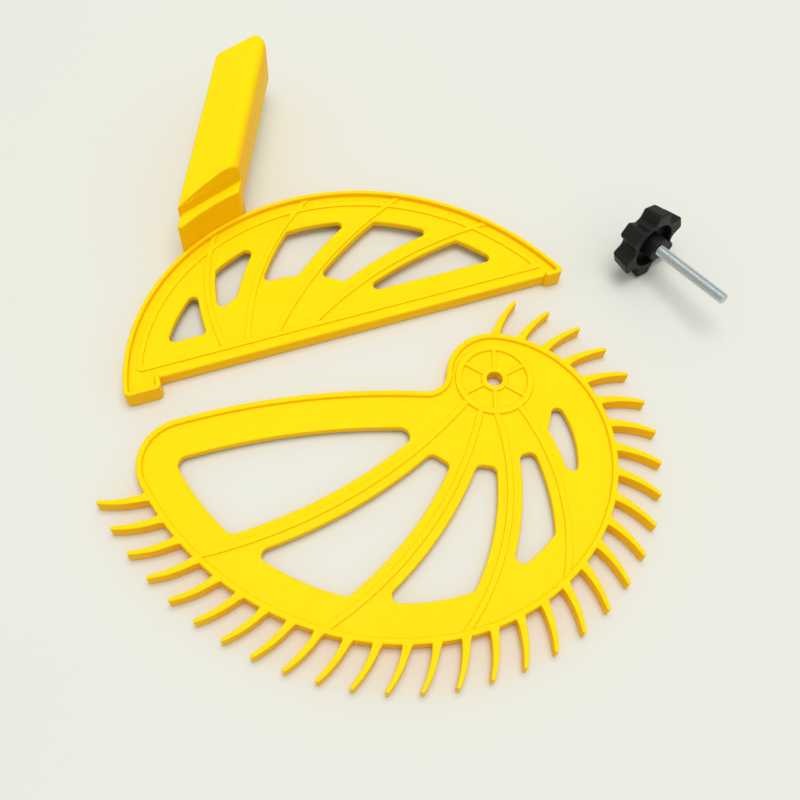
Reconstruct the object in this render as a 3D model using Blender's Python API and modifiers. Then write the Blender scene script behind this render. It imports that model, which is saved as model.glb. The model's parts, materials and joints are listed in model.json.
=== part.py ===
"""Table-saw safety set lying on a bench: a spiral featherboard, a half-moon push block and a star-knob clamp screw.

Sizes are in millimetres and degrees. Plan paths run clockwise, so material lies to the right of travel.
"""

import math

import bmesh
import bpy
import numpy as np
from mathutils import Matrix, Vector

MM = 0.001
COLLECTION_NAME = "table_saw_safety_set"
FILLET_STEP = 24.0
CIRCLE_STEPS = 36

# Where the three items lie on the bench.
HUB_AT = (35.3, -10.8)
BLOCK_FROM_HUB = (-165.9, -18.6)
BLOCK_YAW = 23.9
SCREW_FROM_HUB = (80.1, 83.3)
SCREW_YAW = -46.8

# Featherboard: a spiral rim about its own pole, measured from the axis of the hub bore.
BOARD_T = 8.0
RIM_POLE = (-13.5, -22.0)
RIM_R = 47.0
RIM_GROWTH = 0.282
RIM_BEAD_W = 3.0
WEB_T = 4.2
TOP_EDGE_R = 350.0
TOP_EDGE_CROWN = (-13.0, -10.6)
TOP_EDGE_SPAN = (-31.0, 2.0)
CORNER_R = 24.0
THROAT_R = 10.5

# Feathers: curved fingers at an even pitch along the rim.
FEATHER_COUNT = 31
FEATHER_PITCH = 13.33
FEATHER_FIRST = 13.1
FEATHER_L = 22.2
FEATHER_ROOT_W = 4.0
FEATHER_TIP_W = 2.0
FEATHER_LEAN = 13.0
FEATHER_CURL = 23.0
FEATHER_LIFT = 0.2
FEATHER_DROP = 0.1
FEATHER_STEPS = 4

# Hub of the featherboard. Its outer edge is centred a little off the bore.
HUB_EDGE_AT = (0.0, 2.3)
BORE_R = 4.0
BOSS_R = 6.8
RING_IN_R = 16.7
RING_R = 20.0
RING_T = 7.0
HUB_SPOKES = 6
HUB_SPOKE_W = 2.0
HUB_SPOKE_T = 6.6
HUB_SPOKE_AT = 4.0

# Curved ribs of the featherboard: angle at the hub ring, turn of the rim at the other end, radius of the curve.
BOARD_RIBS = (
    (226.0, 234.1, 243.0),
    (251.0, 206.4, 186.0),
    (275.0, 176.8, 132.0),
    (313.5, 147.5, 117.0),
)
BOARD_RIB_W = 3.0
BOARD_RIB_T = 6.2

# Windows of the featherboard: bands left along the rim, the top edge and each rib, and the hub end of each window.
RIM_BAND = 19.5
TOP_BAND = 20.0
RIB_BAND = 6.0
WINDOW_HUB_R = (52.5, 48.0, 43.0, 60.0)
WINDOW_HUB_AT = ((0.0, 0.0), (0.0, 0.0), (0.0, 0.0), (-30.4, -10.8))
WINDOW_FILLETS = (3.6, 3.6, 3.6, 3.1)
TAPER_FILLET = 4.8

# Push block, measured from the notch corner on its front edge: a spiral rim over a straight base.
BASE_T = 8.5
BEAD_T = 9.8
BLOCK_POLE = (70.9, -33.0)
BLOCK_R = 89.9
BLOCK_GROWTH = 0.176
BEAD_W = 2.2
TOE_L = 10.0
TOE_DROP = 2.0
TOE_R = 2.5
HEEL_DROP = 7.6
HEEL_NOTCH_X = -1.0
HEEL_BEAD_W = 2.0
HEEL_R = 2.0
BASE_LIFT = 0.2
SKIRT_W = 5.0
BASE_SKIRT_W = 7.0
POCKET_R = 3.0
BLOCK_WEB_T = 3.4
EDGE_R = 0.6

# Raised loop inside the rim and the curved cross ribs of the push block.
LOOP_BAND = 6.3
LOOP_BASE_Y = 5.5
LOOP_W = 2.6
LOOP_RISE = 0.5
LOOP_ROOT = 1.5
LOOP_R = 2.5
BLOCK_RIB_W = 2.7
BLOCK_RIB_RISE = 0.6
BLOCK_RIB_LOW = 0.8
BLOCK_RIBS = (
    (34.2, 77.7, 103.0),
    (46.2, 104.0, 140.0),
    (61.0, 126.6, 215.0),
    (79.5, 147.9, 208.0),
)

# Windows of the push block: band left along the rim, and the clear distance either side of each cross rib.
BLOCK_RIM_BAND = 19.0
WINDOW_BASE_Y = 18.3
WINDOW_FAN_AT = (70.0, -15.0)
WINDOW_FAN_R = 55.3
RIB_CLEAR_LEFT = (5.4, 8.5, 7.2, 6.9)
RIB_CLEAR_RIGHT = (4.2, 2.7, 2.8, 4.0)
BLOCK_FILLET = 2.6

# Offset handle of the push block, along its own axis and across it.
HANDLE_AXIS = 65.4
NECK_TOP = 30.5
NECK_LEFT = -4.4
NECK_RIGHT = 22.1
NECK_LOW = 0.4
NECK_R = (1.5, 3.0)
NECK_BACK = 15.0
ROOT_R = (8.0, 2.0)
ROOT_TOP = 8.0
LEDGE_W = 6.0
RIM_SINK = 0.2
GRIP_LEFT = -4.8
GRIP_LEFT_TOP = 36.8
GRIP_LEFT_R = 1.2
RIDGE_AT = 19.3
RIDGE_TOP = 45.2
RIDGE_R = 4.0
GRIP_RIGHT = 22.6
FLANK_LOW = 28.0
FLANK_R = 6.0
GRIP_LOW = 14.0
GRIP_LOW_R = 4.0
GRIP_END_LEFT = 190.3
GRIP_END_RIGHT = 207.4
GRIP_END_R = (4.0, 6.0)

# Star knob and the bolt in it; the local origin is on the screw axis, level with the knob's underside.
LOBES = 6
LOBE_TURN = 15.0
KNOB_R = 21.0
KNOB_TOP_SCALE = 0.913
VALLEY_R = 15.2
LOBE_HALF = 12.5
VALLEY_HALF = 6.5
LOBE_R = 2.0
VALLEY_FILLET = 3.0
KNOB_H = 12.0
CUP_R = 12.8
CUP_DEPTH = 4.8
STEM_R = 6.5
STEM_RISE = 4.0
BOLT_R = 3.0
BOLT_L = 49.0
BOLT_CHAMFER = 0.7
HEAD_AF = 10.0
HEAD_H = 4.0
HEAD_SINK = 2.0
FIT_GAP = 0.3


class Spiral:
    """A logarithmic spiral that opens clockwise from its zero direction."""

    def __init__(self, pole, radius, growth, zero):
        self.pole = np.array(pole)
        self.radius = radius
        self.growth = growth
        self.zero = math.radians(zero)

    def turn_at(self, length):
        """The turn in radians at an arc length from the zero direction."""
        scale = self.growth / (self.radius * math.hypot(1.0, self.growth))
        return math.log(1.0 + length * scale) / self.growth

    def points(self, turns):
        """The points at the given turns."""
        radii = self.radius * np.exp(self.growth * np.asarray(turns))
        angles = self.zero - np.asarray(turns)
        return self.pole + np.column_stack([radii * np.cos(angles), radii * np.sin(angles)])

    def travel(self, turn):
        """The unit direction of clockwise travel at one turn."""
        angle = self.zero - turn
        step = np.array([
            self.growth * math.cos(angle) + math.sin(angle),
            self.growth * math.sin(angle) - math.cos(angle),
        ])
        return step / np.hypot(*step)


def arc(centre, radius, start, end, count):
    """Points on a circle from one angle to another."""
    angles = np.radians(np.linspace(start, end, count))
    return np.column_stack([
        centre[0] + radius * np.cos(angles),
        centre[1] + radius * np.sin(angles),
    ])


def circle(radius, count=CIRCLE_STEPS):
    """A closed circle about the origin."""
    return arc((0.0, 0.0), radius, 0.0, -360.0, count + 1)[:-1]


def line(start, end):
    """A straight edge."""
    return np.array([start, end], dtype=float)


def through(start, end):
    """A straight edge that runs past both of its points, for corners that are rounded."""
    start = np.array(start)
    end = np.array(end)
    return line(start * 2 - end, end * 2 - start)


def right_bend(start, end, radius, count):
    """An arc from one point to another that bends to the right as it goes."""
    start = np.array(start)
    end = np.array(end)
    chord = end - start
    length = np.hypot(*chord)
    right = np.array([chord[1], -chord[0]]) / length
    centre = (start + end) / 2 + right * math.sqrt(radius**2 - length**2 / 4)
    first = math.degrees(math.atan2(*(start - centre)[::-1]))
    last = math.degrees(math.atan2(*(end - centre)[::-1]))
    if last > first:
        last -= 360.0
    return arc(centre, radius, first, last, count)


def offset(path, distance):
    """The path moved to the right of its travel."""
    steps = np.gradient(path, axis=0)
    right = np.column_stack([steps[:, 1], -steps[:, 0]])
    return path + distance * right / np.hypot(steps[:, 0], steps[:, 1])[:, None]


def place_on(path, place):
    """The point at a place along a path, counted in points."""
    index = min(int(place), len(path) - 2)
    return path[index] + (place - index) * (path[index + 1] - path[index])


def crossing(first, second):
    """The last place where the first path meets the second, as a place along each."""
    step_a = np.diff(first, axis=0)[:, None]
    step_b = np.diff(second, axis=0)[None, :]
    gap = second[None, :-1] - first[:-1, None]
    area = step_a[..., 0] * step_b[..., 1] - step_a[..., 1] * step_b[..., 0]
    area = np.where(np.abs(area) < 1e-12, np.nan, area)
    along_a = (gap[..., 0] * step_b[..., 1] - gap[..., 1] * step_b[..., 0]) / area
    along_b = (gap[..., 0] * step_a[..., 1] - gap[..., 1] * step_a[..., 0]) / area
    meets = (along_a >= 0) & (along_a <= 1) & (along_b >= 0) & (along_b <= 1)
    if not meets.any():
        raise ValueError("two edges of an outline don't meet")
    hits = np.argwhere(meets)
    row, column = max(hits, key=lambda hit: hit[0] + along_a[hit[0], hit[1]])
    return row + along_a[row, column], column + along_b[row, column]


def between(path, start, end):
    """The part of a path from one place to another."""
    inner = [path[i] for i in range(math.ceil(start + 0.02), math.floor(end - 0.02) + 1)]
    return np.array([place_on(path, start), *inner, place_on(path, end)])


def rounded(first, second, radius):
    """The place on each of two edges where a tangent arc begins and ends, and the arc."""
    place_a, place_b = crossing(offset(first, radius), offset(second, radius))
    start = place_on(first, place_a)
    end = place_on(second, place_b)
    centre = place_on(offset(first, radius), place_a)
    from_angle = math.degrees(math.atan2(*(start - centre)[::-1]))
    to_angle = math.degrees(math.atan2(*(end - centre)[::-1]))
    side = math.copysign(1.0, radius)
    turn = (side * (from_angle - to_angle)) % 360.0
    count = max(3, math.ceil(turn / FILLET_STEP) + 1)
    return place_a, place_b, arc(centre, abs(radius), from_angle, from_angle - side * turn, count)


def chain(edges, radii, closed=True):
    """One path along the edges in turn. Each corner has its radius, negative where the path turns left."""
    starts = [0.0] * len(edges)
    ends = [len(edge) - 1.0 for edge in edges]
    fillets = [np.empty((0, 2))] * len(edges)
    for here in range(len(edges) if closed else len(edges) - 1):
        after = (here + 1) % len(edges)
        ends[here], starts[after], fillet = rounded(edges[here], edges[after], radii[here])
        fillets[here] = fillet[1:-1]
    pieces = []
    for edge, start, end, fillet in zip(edges, starts, ends, fillets):
        pieces += [between(edge, start, end), fillet]
    return np.vstack(pieces)


def strip(path, left, right):
    """The loop round a band that runs along a path."""
    return np.vstack([offset(path, -left), offset(path, right)[::-1]])


def in_collection(name):
    """The collection with this name, made on first use."""
    found = bpy.data.collections.get(name)
    if found is None:
        found = bpy.data.collections.new(name)
        bpy.context.scene.collection.children.link(found)
    return found


def tidy_mesh(mesh):
    """Joins the seams of a mesh and turns its faces outward."""
    work = bmesh.new()
    work.from_mesh(mesh)
    bmesh.ops.remove_doubles(work, verts=work.verts, dist=1e-6)
    bmesh.ops.recalc_face_normals(work, faces=work.faces)
    work.to_mesh(mesh)
    work.free()


def prism(name, loops, low, high):
    """A solid over plan loops, an inner loop being a hole, from one height to another."""
    curve = bpy.data.curves.new(name, "CURVE")
    curve.dimensions = "2D"
    curve.fill_mode = "BOTH"
    curve.extrude = (high - low) / 2 * MM
    for loop in loops:
        spline = curve.splines.new("POLY")
        spline.points.add(len(loop) - 1)
        spline.use_cyclic_u = True
        for point, (x, y) in zip(spline.points, loop):
            point.co = (x * MM, y * MM, 0.0, 1.0)
    holder = bpy.data.objects.new(name + "_curve", curve)
    bpy.context.scene.collection.objects.link(holder)
    bpy.context.view_layer.update()
    graph = bpy.context.evaluated_depsgraph_get()
    mesh = bpy.data.meshes.new_from_object(holder.evaluated_get(graph))
    mesh.transform(Matrix.Translation((0.0, 0.0, (low + high) / 2 * MM)))
    bpy.data.objects.remove(holder)
    tidy_mesh(mesh)
    mesh.name = name
    solid = bpy.data.objects.new(name, mesh)
    in_collection(COLLECTION_NAME).objects.link(solid)
    return solid


def turned(name, profile):
    """A solid of revolution about Z from radius and height points that run down the outer side."""
    mesh = bpy.data.meshes.new(name)
    points = [(radius * MM, 0.0, height * MM) for radius, height in profile]
    mesh.from_pydata(points, [(i, i + 1) for i in range(len(points) - 1)], [])
    solid = bpy.data.objects.new(name, mesh)
    in_collection(COLLECTION_NAME).objects.link(solid)
    screw = solid.modifiers.new("turn", "SCREW")
    screw.steps = CIRCLE_STEPS
    screw.render_steps = CIRCLE_STEPS
    screw.use_merge_vertices = True
    screw.merge_threshold = 1e-5
    bpy.context.view_layer.update()
    graph = bpy.context.evaluated_depsgraph_get()
    solid.data = bpy.data.meshes.new_from_object(solid.evaluated_get(graph))
    solid.modifiers.clear()
    tidy_mesh(solid.data)
    return solid


def combine(target, others, operation="UNION"):
    """Adds one Boolean step to the target. The other solids ride with it, out of sight."""
    helpers = in_collection(target.name + "_" + operation.lower())
    for other in others:
        other.parent = target
        other.hide_render = True
        other.display_type = "WIRE"
        in_collection(COLLECTION_NAME).objects.unlink(other)
        helpers.objects.link(other)
    step = target.modifiers.new(operation.lower(), "BOOLEAN")
    step.operation = operation
    step.solver = "EXACT"
    step.operand_type = "COLLECTION"
    step.collection = helpers


def finish(node, colour, roughness, metallic=0.0):
    """Gives a node its own material."""
    material = bpy.data.materials.new(node.name + "_finish")
    material.use_nodes = True
    shader = material.node_tree.nodes["Principled BSDF"]
    shader.inputs["Base Color"].default_value = (*colour, 1.0)
    shader.inputs["Roughness"].default_value = roughness
    shader.inputs["Metallic"].default_value = metallic
    node.data.materials.clear()
    node.data.materials.append(material)


def inside(rim, turn, distance):
    """The point at a turn of a rim, given in degrees, moved toward the rim's pole."""
    point = rim.points(np.radians([turn]))[0]
    inward = rim.pole - point
    return point + inward * distance / np.hypot(*inward)


def feather(rim, index):
    """One feather in plan, its root sunk into the bead: up the near edge, round the tip and back."""
    turn = rim.turn_at(FEATHER_FIRST + index * FEATHER_PITCH)
    root = rim.points([turn])[0]
    along = rim.travel(turn)
    outward = np.array([-along[1], along[0]])
    lean = math.radians(FEATHER_LEAN)
    curl = math.radians(FEATHER_CURL)
    bend_r = FEATHER_L / curl
    near = []
    far = []
    for share in np.linspace(-RIM_BEAD_W / 2 / FEATHER_L, 1.0, FEATHER_STEPS + 1):
        heading = lean + curl * share
        out = bend_r * (math.sin(heading) - math.sin(lean))
        side = bend_r * (math.cos(lean) - math.cos(heading))
        half = (FEATHER_ROOT_W + share * (FEATHER_TIP_W - FEATHER_ROOT_W)) / 2
        centre = root + outward * out + along * side
        across = along * math.cos(heading) - outward * math.sin(heading)
        near.append(centre - half * across)
        far.append(centre + half * across)
    tip_way = outward * math.cos(heading) + along * math.sin(heading)
    tip = [centre + (tip_way * 0.3 + across * side) * FEATHER_TIP_W for side in (-0.25, 0.25)]
    return np.array([*near, *tip, *far[::-1]])


def board_window(fillet, hub_arc, rim_inner, before, after=None):
    """One window of the featherboard, from its hub end round past the ribs on either side of it."""
    edges = [hub_arc, rim_inner, offset(before, -RIB_BAND)[::-1]]
    if after is not None:
        edges.insert(1, offset(after, RIB_BAND))
    return chain(edges, [fillet] * len(edges))


def build_featherboard():
    """The featherboard: a beaded rim, feathers, a web with windows, ribs and a spoked hub."""
    rim = Spiral(RIM_POLE, RIM_R, RIM_GROWTH, 90.0)
    turns = np.linspace(-0.6, 1.2, 181)
    nearest = turns[np.argmin(np.hypot(*(rim.points(turns) - HUB_EDGE_AT).T))]
    hub_join = rim.points([nearest])[0] - HUB_EDGE_AT
    join_angle = math.degrees(math.atan2(hub_join[1], hub_join[0]))
    hub_arc = arc(HUB_EDGE_AT, np.hypot(*hub_join), join_angle + 150.0, join_angle, 18)
    last_feather = FEATHER_FIRST + (FEATHER_COUNT - 1) * FEATHER_PITCH
    end_turn = rim.turn_at(last_feather + CORNER_R * 3)
    long_edge = rim.points(np.linspace(nearest, end_turn, 48))
    body_edge = np.vstack([hub_arc[:-1], long_edge])
    top_centre = (TOP_EDGE_CROWN[0], TOP_EDGE_CROWN[1] - TOP_EDGE_R)
    top_edge = arc(top_centre, TOP_EDGE_R, 90.0 - TOP_EDGE_SPAN[0], 90.0 - TOP_EDGE_SPAN[1], 14)

    def body_loop(inset):
        """The outline of the board without feathers, moved inward."""
        edges = [offset(body_edge, inset), offset(top_edge, inset)]
        return chain(edges, (CORNER_R - inset, -THROAT_R - inset))

    ribs = []
    for angle, end_turn, radius in BOARD_RIBS:
        start = arc((0.0, 0.0), (RING_IN_R + RING_R) / 2, angle, angle, 1)[0]
        ribs.append(right_bend(start, inside(rim, end_turn, RIM_BEAD_W / 2), radius, 9))
    rim_inner = offset(long_edge, RIM_BAND)
    first_edges = [offset(top_edge, TOP_BAND), offset(ribs[0], RIB_BAND), rim_inner]
    windows = [chain(first_edges, [TAPER_FILLET] * 3)]
    for index, hub_end in enumerate(WINDOW_HUB_R):
        from_angle = BOARD_RIBS[index][0]
        reach = arc(WINDOW_HUB_AT[index], hub_end, from_angle - 40.0, from_angle + 75.0, 20)
        after = ribs[index + 1] if index + 1 < len(ribs) else None
        windows.append(board_window(WINDOW_FILLETS[index], reach, rim_inner, ribs[index], after))

    def layer(thickness):
        """The lower and upper level of a layer centred in the board."""
        return (BOARD_T - thickness) / 2, (BOARD_T + thickness) / 2

    bore_wall = circle((BORE_R + BOSS_R) / 2)
    board = prism("featherboard", [body_loop(RIM_BEAD_W / 2), bore_wall, *windows], *layer(WEB_T))
    bead = prism("rim_bead", [body_loop(0.0), body_loop(RIM_BEAD_W)], 0.0, BOARD_T)
    feathers = [feather(rim, index) for index in range(FEATHER_COUNT)]
    comb = prism("feathers", feathers, FEATHER_LIFT, BOARD_T - FEATHER_DROP)
    rib_loops = [strip(rib, BOARD_RIB_W / 2, BOARD_RIB_W / 2) for rib in ribs]
    raised = prism("board_ribs", rib_loops, *layer(BOARD_RIB_T))
    rings = prism("hub_rings", [circle(r) for r in (RING_R, RING_IN_R, BOSS_R, BORE_R)], *layer(RING_T))
    spokes = []
    for index in range(HUB_SPOKES):
        angle = HUB_SPOKE_AT + 90.0 + index * 360.0 / HUB_SPOKES
        inner = arc((0.0, 0.0), (BORE_R + BOSS_R) / 2, angle, angle, 1)[0]
        outer = arc((0.0, 0.0), (RING_IN_R + RING_R) / 2, angle, angle, 1)[0]
        spokes.append(strip(line(inner, outer), HUB_SPOKE_W / 2, HUB_SPOKE_W / 2))
    combine(board, [bead, comb, raised, rings, prism("hub_spokes", spokes, *layer(HUB_SPOKE_T))])
    finish(board, (0.95, 0.68, 0.01), 0.42)
    board.location = (HUB_AT[0] * MM, HUB_AT[1] * MM, 0.0)
    return board


def block_windows(rim_inner, ribs):
    """The five windows between the cross ribs of the push block."""
    low = line((BLOCK_R * 3, WINDOW_BASE_Y), (-BLOCK_R * 3, WINDOW_BASE_Y))
    fan = arc(WINDOW_FAN_AT, WINDOW_FAN_R, 0.0, 180.0, 32)
    left = [offset(rib, -clear)[::-1] for rib, clear in zip(ribs, RIB_CLEAR_LEFT)]
    right = [offset(rib, clear) for rib, clear in zip(ribs, RIB_CLEAR_RIGHT)]
    loops = [chain([rim_inner, left[0], low], [BLOCK_FILLET] * 3)]
    for index in range(len(ribs) - 1):
        edges = [right[index], rim_inner, left[index + 1], fan]
        loops.append(chain(edges, [BLOCK_FILLET] * 4))
    loops.append(chain([right[-1], rim_inner, low], [BLOCK_FILLET] * 3))
    return loops


def build_handle(rim_path):
    """The offset handle: a neck on the rim, a flared root at plate level and a grip with a tilted top."""
    angle = math.radians(HANDLE_AXIS)
    axis = np.array([math.cos(angle), math.sin(angle)])
    across = np.array([math.sin(angle), -math.cos(angle)])

    def at(along, over):
        return axis * along + across * over

    low = 20.0
    high = 260.0
    neck_left = line(at(low, NECK_LEFT), at(high, NECK_LEFT))
    neck_right = line(at(high, NECK_RIGHT), at(low, NECK_RIGHT))
    neck_back = offset(rim_path, -LEDGE_W - NECK_BACK)
    front = offset(rim_path, RIM_SINK)
    neck_edges = [neck_left, neck_back, neck_right, front[::-1]]
    neck = prism("neck", [chain(neck_edges, (NECK_R[1], NECK_R[1], NECK_R[1], NECK_R[0]))], NECK_LOW, NECK_TOP)

    first = int(crossing(rim_path, neck_left)[0])
    last = int(crossing(rim_path, neck_right)[0])
    before = rim_path[first - 4 : first + 2]
    after = rim_path[last : last + 4]
    root_edges = [before, neck_left, offset(rim_path, -LEDGE_W), neck_right, after]
    root = chain(root_edges, (-ROOT_R[0], EDGE_R, EDGE_R, -ROOT_R[1]), closed=False)
    sunk = offset(rim_path, BEAD_W / 2)[first - 4 : last + 4]
    root_loop = np.vstack([root, sunk[::-1]])
    flare = prism("handle_root", [root_loop], NECK_LOW * 2, ROOT_TOP)

    grip_left = line(at(low, GRIP_LEFT), at(high, GRIP_LEFT))
    grip_end = through(at(GRIP_END_LEFT, GRIP_LEFT), at(GRIP_END_RIGHT, GRIP_RIGHT))
    grip_right = line(at(high, GRIP_RIGHT), at(low, GRIP_RIGHT))
    grip_front = offset(rim_path, -LEDGE_W)[::-1]
    grip_edges = [grip_left, grip_end, grip_right, grip_front]
    grip = prism("grip", [chain(grip_edges, (*GRIP_END_R, EDGE_R, EDGE_R))], 0.0, RIDGE_TOP * 2)
    section = (
        (GRIP_LEFT, GRIP_LOW),
        (GRIP_LEFT, GRIP_LEFT_TOP),
        (RIDGE_AT, RIDGE_TOP),
        (GRIP_RIGHT, FLANK_LOW),
        (GRIP_RIGHT, GRIP_LOW),
    )
    sides = [through(section[i], section[(i + 1) % len(section)]) for i in range(len(section))]
    profile = chain(sides, (GRIP_LEFT_R, RIDGE_R, FLANK_R, GRIP_LOW_R, GRIP_LOW_R))
    bar = prism("grip_bar", [profile], -high, -low)
    sideways = Matrix((
        (across[0], 0.0, -axis[0], 0.0),
        (across[1], 0.0, -axis[1], 0.0),
        (0.0, 1.0, 0.0, 0.0),
        (0.0, 0.0, 0.0, 1.0),
    ))
    bar.data.transform(sideways)
    combine(grip, [bar], "INTERSECT")
    return [neck, flare, grip]


def build_push_block():
    """The push block: a cored plate with a beaded spiral rim, heel and toe, ribs, windows and a handle."""
    rim = Spiral(BLOCK_POLE, BLOCK_R, BLOCK_GROWTH, 180.0)
    rim_path = rim.points(np.radians(np.linspace(8.0, 172.0, 48)))
    base = line((BLOCK_R * 3, 0.0), (HEEL_NOTCH_X - BLOCK_R, 0.0))
    toe_x = place_on(rim_path, crossing(rim_path, base)[0])[0] - TOE_L
    toe = line((BLOCK_R * 3, -TOE_DROP), (toe_x - TOE_L, -TOE_DROP))
    toe_step = line((toe_x, -TOE_DROP * 2 - TOE_R), (toe_x, BEAD_W - TOE_DROP))
    notch = line((HEEL_NOTCH_X, BEAD_W - TOE_DROP), (HEEL_NOTCH_X, -HEEL_DROP - 10.0))
    heel = line((HEEL_NOTCH_X + 20.0, -HEEL_DROP), (HEEL_NOTCH_X - 60.0, -HEEL_DROP))

    plate_edges = [
        offset(rim_path, BEAD_W / 2),
        base,
        offset(notch, BEAD_W / 2),
        offset(heel, HEEL_BEAD_W / 2),
    ]
    plate = chain(plate_edges, (EDGE_R, -EDGE_R, EDGE_R, EDGE_R))
    bead_outer = chain([notch, heel, rim_path, toe, toe_step], (HEEL_R, HEEL_R, TOE_R, EDGE_R), closed=False)
    toe_inner = line((BLOCK_R * 3, BEAD_W - TOE_DROP), (toe_x, BEAD_W - TOE_DROP))
    inner_edges = [offset(notch, BEAD_W), offset(heel, HEEL_BEAD_W), offset(rim_path, BEAD_W), toe_inner]
    bead_inner = chain(inner_edges, (EDGE_R, EDGE_R, EDGE_R), closed=False)
    bead_loop = np.vstack([bead_outer, bead_inner[::-1]])

    ribs = []
    for start_x, end_turn, radius in BLOCK_RIBS:
        start = (start_x, LOOP_BASE_Y + LOOP_W / 2)
        ribs.append(right_bend(start, inside(rim, end_turn, BEAD_W / 2), radius, 8))
    windows = block_windows(offset(rim_path, BLOCK_RIM_BAND), ribs)

    def rim_and_base(rim_inset, base_y, left_r):
        """A loop inside the rim, closed by a straight edge above the base."""
        low = line((BLOCK_R * 3, base_y), (HEEL_NOTCH_X - BLOCK_R, base_y))
        return chain([offset(rim_path, rim_inset), low], (EDGE_R, left_r))

    block = prism("push_block", [plate, *windows], BASE_LIFT, BASE_T)
    pocket_loop = rim_and_base(SKIRT_W, BASE_SKIRT_W, POCKET_R)
    pocket = prism("underside_pocket", [pocket_loop], -BASE_T, BASE_T - BLOCK_WEB_T)
    combine(block, [pocket], "DIFFERENCE")
    bead = prism("block_bead", [bead_loop], 0.0, BEAD_T)
    loops = [
        rim_and_base(LOOP_BAND, LOOP_BASE_Y, LOOP_R),
        rim_and_base(LOOP_BAND + LOOP_W, LOOP_BASE_Y + LOOP_W, EDGE_R),
    ]
    raised = prism("raised_loop", loops, BASE_T - LOOP_ROOT, BASE_T + LOOP_RISE)
    rib_loops = [strip(rib, BLOCK_RIB_W / 2, BLOCK_RIB_W / 2) for rib in ribs]
    cross = prism("cross_ribs", rib_loops, BLOCK_RIB_LOW, BASE_T + BLOCK_RIB_RISE)
    combine(block, [bead, raised, cross, *build_handle(rim_path)])
    finish(block, (0.95, 0.68, 0.01), 0.42)
    block.location = ((HUB_AT[0] + BLOCK_FROM_HUB[0]) * MM, (HUB_AT[1] + BLOCK_FROM_HUB[1]) * MM, 0.0)
    block.rotation_euler = (0.0, 0.0, math.radians(BLOCK_YAW))
    return block


def star_loop():
    """The lobed outline of the knob, with one lobe turned a little up from the X axis."""
    corners = []
    for index in range(LOBES):
        middle = LOBE_TURN - index * 360.0 / LOBES
        half_pitch = 180.0 / LOBES
        spots = (
            (KNOB_R, middle + LOBE_HALF),
            (KNOB_R, middle - LOBE_HALF),
            (VALLEY_R, middle - half_pitch + VALLEY_HALF),
            (VALLEY_R, middle - half_pitch - VALLEY_HALF),
        )
        corners += [arc((0.0, 0.0), radius, angle, angle, 1)[0] for radius, angle in spots]
    edges = [line(corners[i], corners[(i + 1) % len(corners)]) for i in range(len(corners))]
    radii = (LOBE_R, -VALLEY_FILLET, -VALLEY_FILLET, LOBE_R) * LOBES
    return chain(edges, radii)


def hexagon(across_flats):
    """A hexagon about the origin."""
    return circle(across_flats / math.sqrt(3.0), 6)


def build_clamp_screw():
    """The star knob with a stem in its cupped underside, and the hexagon-head bolt held in it."""
    outline = star_loop()
    knob = prism("star_knob", [outline], -KNOB_H, 0.0)
    for vertex in knob.data.vertices:
        if vertex.co.z < 0.0:
            vertex.co.xy *= KNOB_TOP_SCALE
    head_top = -KNOB_H + HEAD_SINK
    seat = head_top + HEAD_H + FIT_GAP
    bore_r = BOLT_R + FIT_GAP
    combine(knob, [prism("knob_stem", [circle(STEM_R + bore_r)], -KNOB_H / 2, STEM_RISE)])
    cup = prism("knob_cup", [circle(CUP_R), circle(STEM_R)], -CUP_DEPTH, KNOB_H)
    bore = prism("knob_bore", [circle(bore_r)], -KNOB_H * 2, KNOB_H)
    hex_pocket = prism("hex_pocket", [hexagon(HEAD_AF + 2 * FIT_GAP)], -KNOB_H * 2, seat)
    combine(knob, [cup, bore, hex_pocket], "DIFFERENCE")
    finish(knob, (0.02, 0.02, 0.02), 0.5)

    bolt = turned("clamp_bolt", [
        (0.0, BOLT_L), (BOLT_R - BOLT_CHAMFER, BOLT_L), (BOLT_R, BOLT_L - BOLT_CHAMFER),
        (BOLT_R, head_top + HEAD_H / 2), (0.0, head_top + HEAD_H / 2),
    ])
    head = prism("bolt_head", [hexagon(HEAD_AF)], head_top, head_top + HEAD_H)
    combine(bolt, [head])
    finish(bolt, (0.62, 0.66, 0.66), 0.3, 1.0)

    # The screw lies on its lowest lobe, whose taper points the tip a little upward.
    reach = -outline[:, 1].min()
    lean = math.atan(reach * (1.0 - KNOB_TOP_SCALE) / KNOB_H)
    yaw = math.radians(SCREW_YAW)
    level = Vector((-math.sin(yaw), math.cos(yaw), 0.0))
    along = Vector((math.cos(yaw) * math.cos(lean), math.sin(yaw) * math.cos(lean), math.sin(lean)))
    lie = Matrix((level, along.cross(level), along)).transposed().to_euler()
    for node in (knob, bolt):
        node.location = (
            (HUB_AT[0] + SCREW_FROM_HUB[0]) * MM,
            (HUB_AT[1] + SCREW_FROM_HUB[1]) * MM,
            reach * math.cos(lean) * MM,
        )
        node.rotation_euler = lie


def main():
    """Clears the scene and builds the set."""
    for old in list(bpy.data.objects):
        bpy.data.objects.remove(old)
    build_featherboard()
    build_push_block()
    build_clamp_screw()


main()
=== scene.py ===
"""Dresses the table-saw safety set.

The set is a spiral featherboard, a half-moon push block and a star-knob clamp screw. Sizes are in
millimetres and degrees. Plan paths run clockwise, so material lies to the right of travel.
"""

import json
import logging
import math
from dataclasses import dataclass, field
from enum import Enum

import bmesh
import bpy
import numpy as np
from bpy.types import Material, Mesh, Node, NodeTree, Object
from mathutils import Matrix, Vector
from mathutils.geometry import tessellate_polygon


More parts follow.
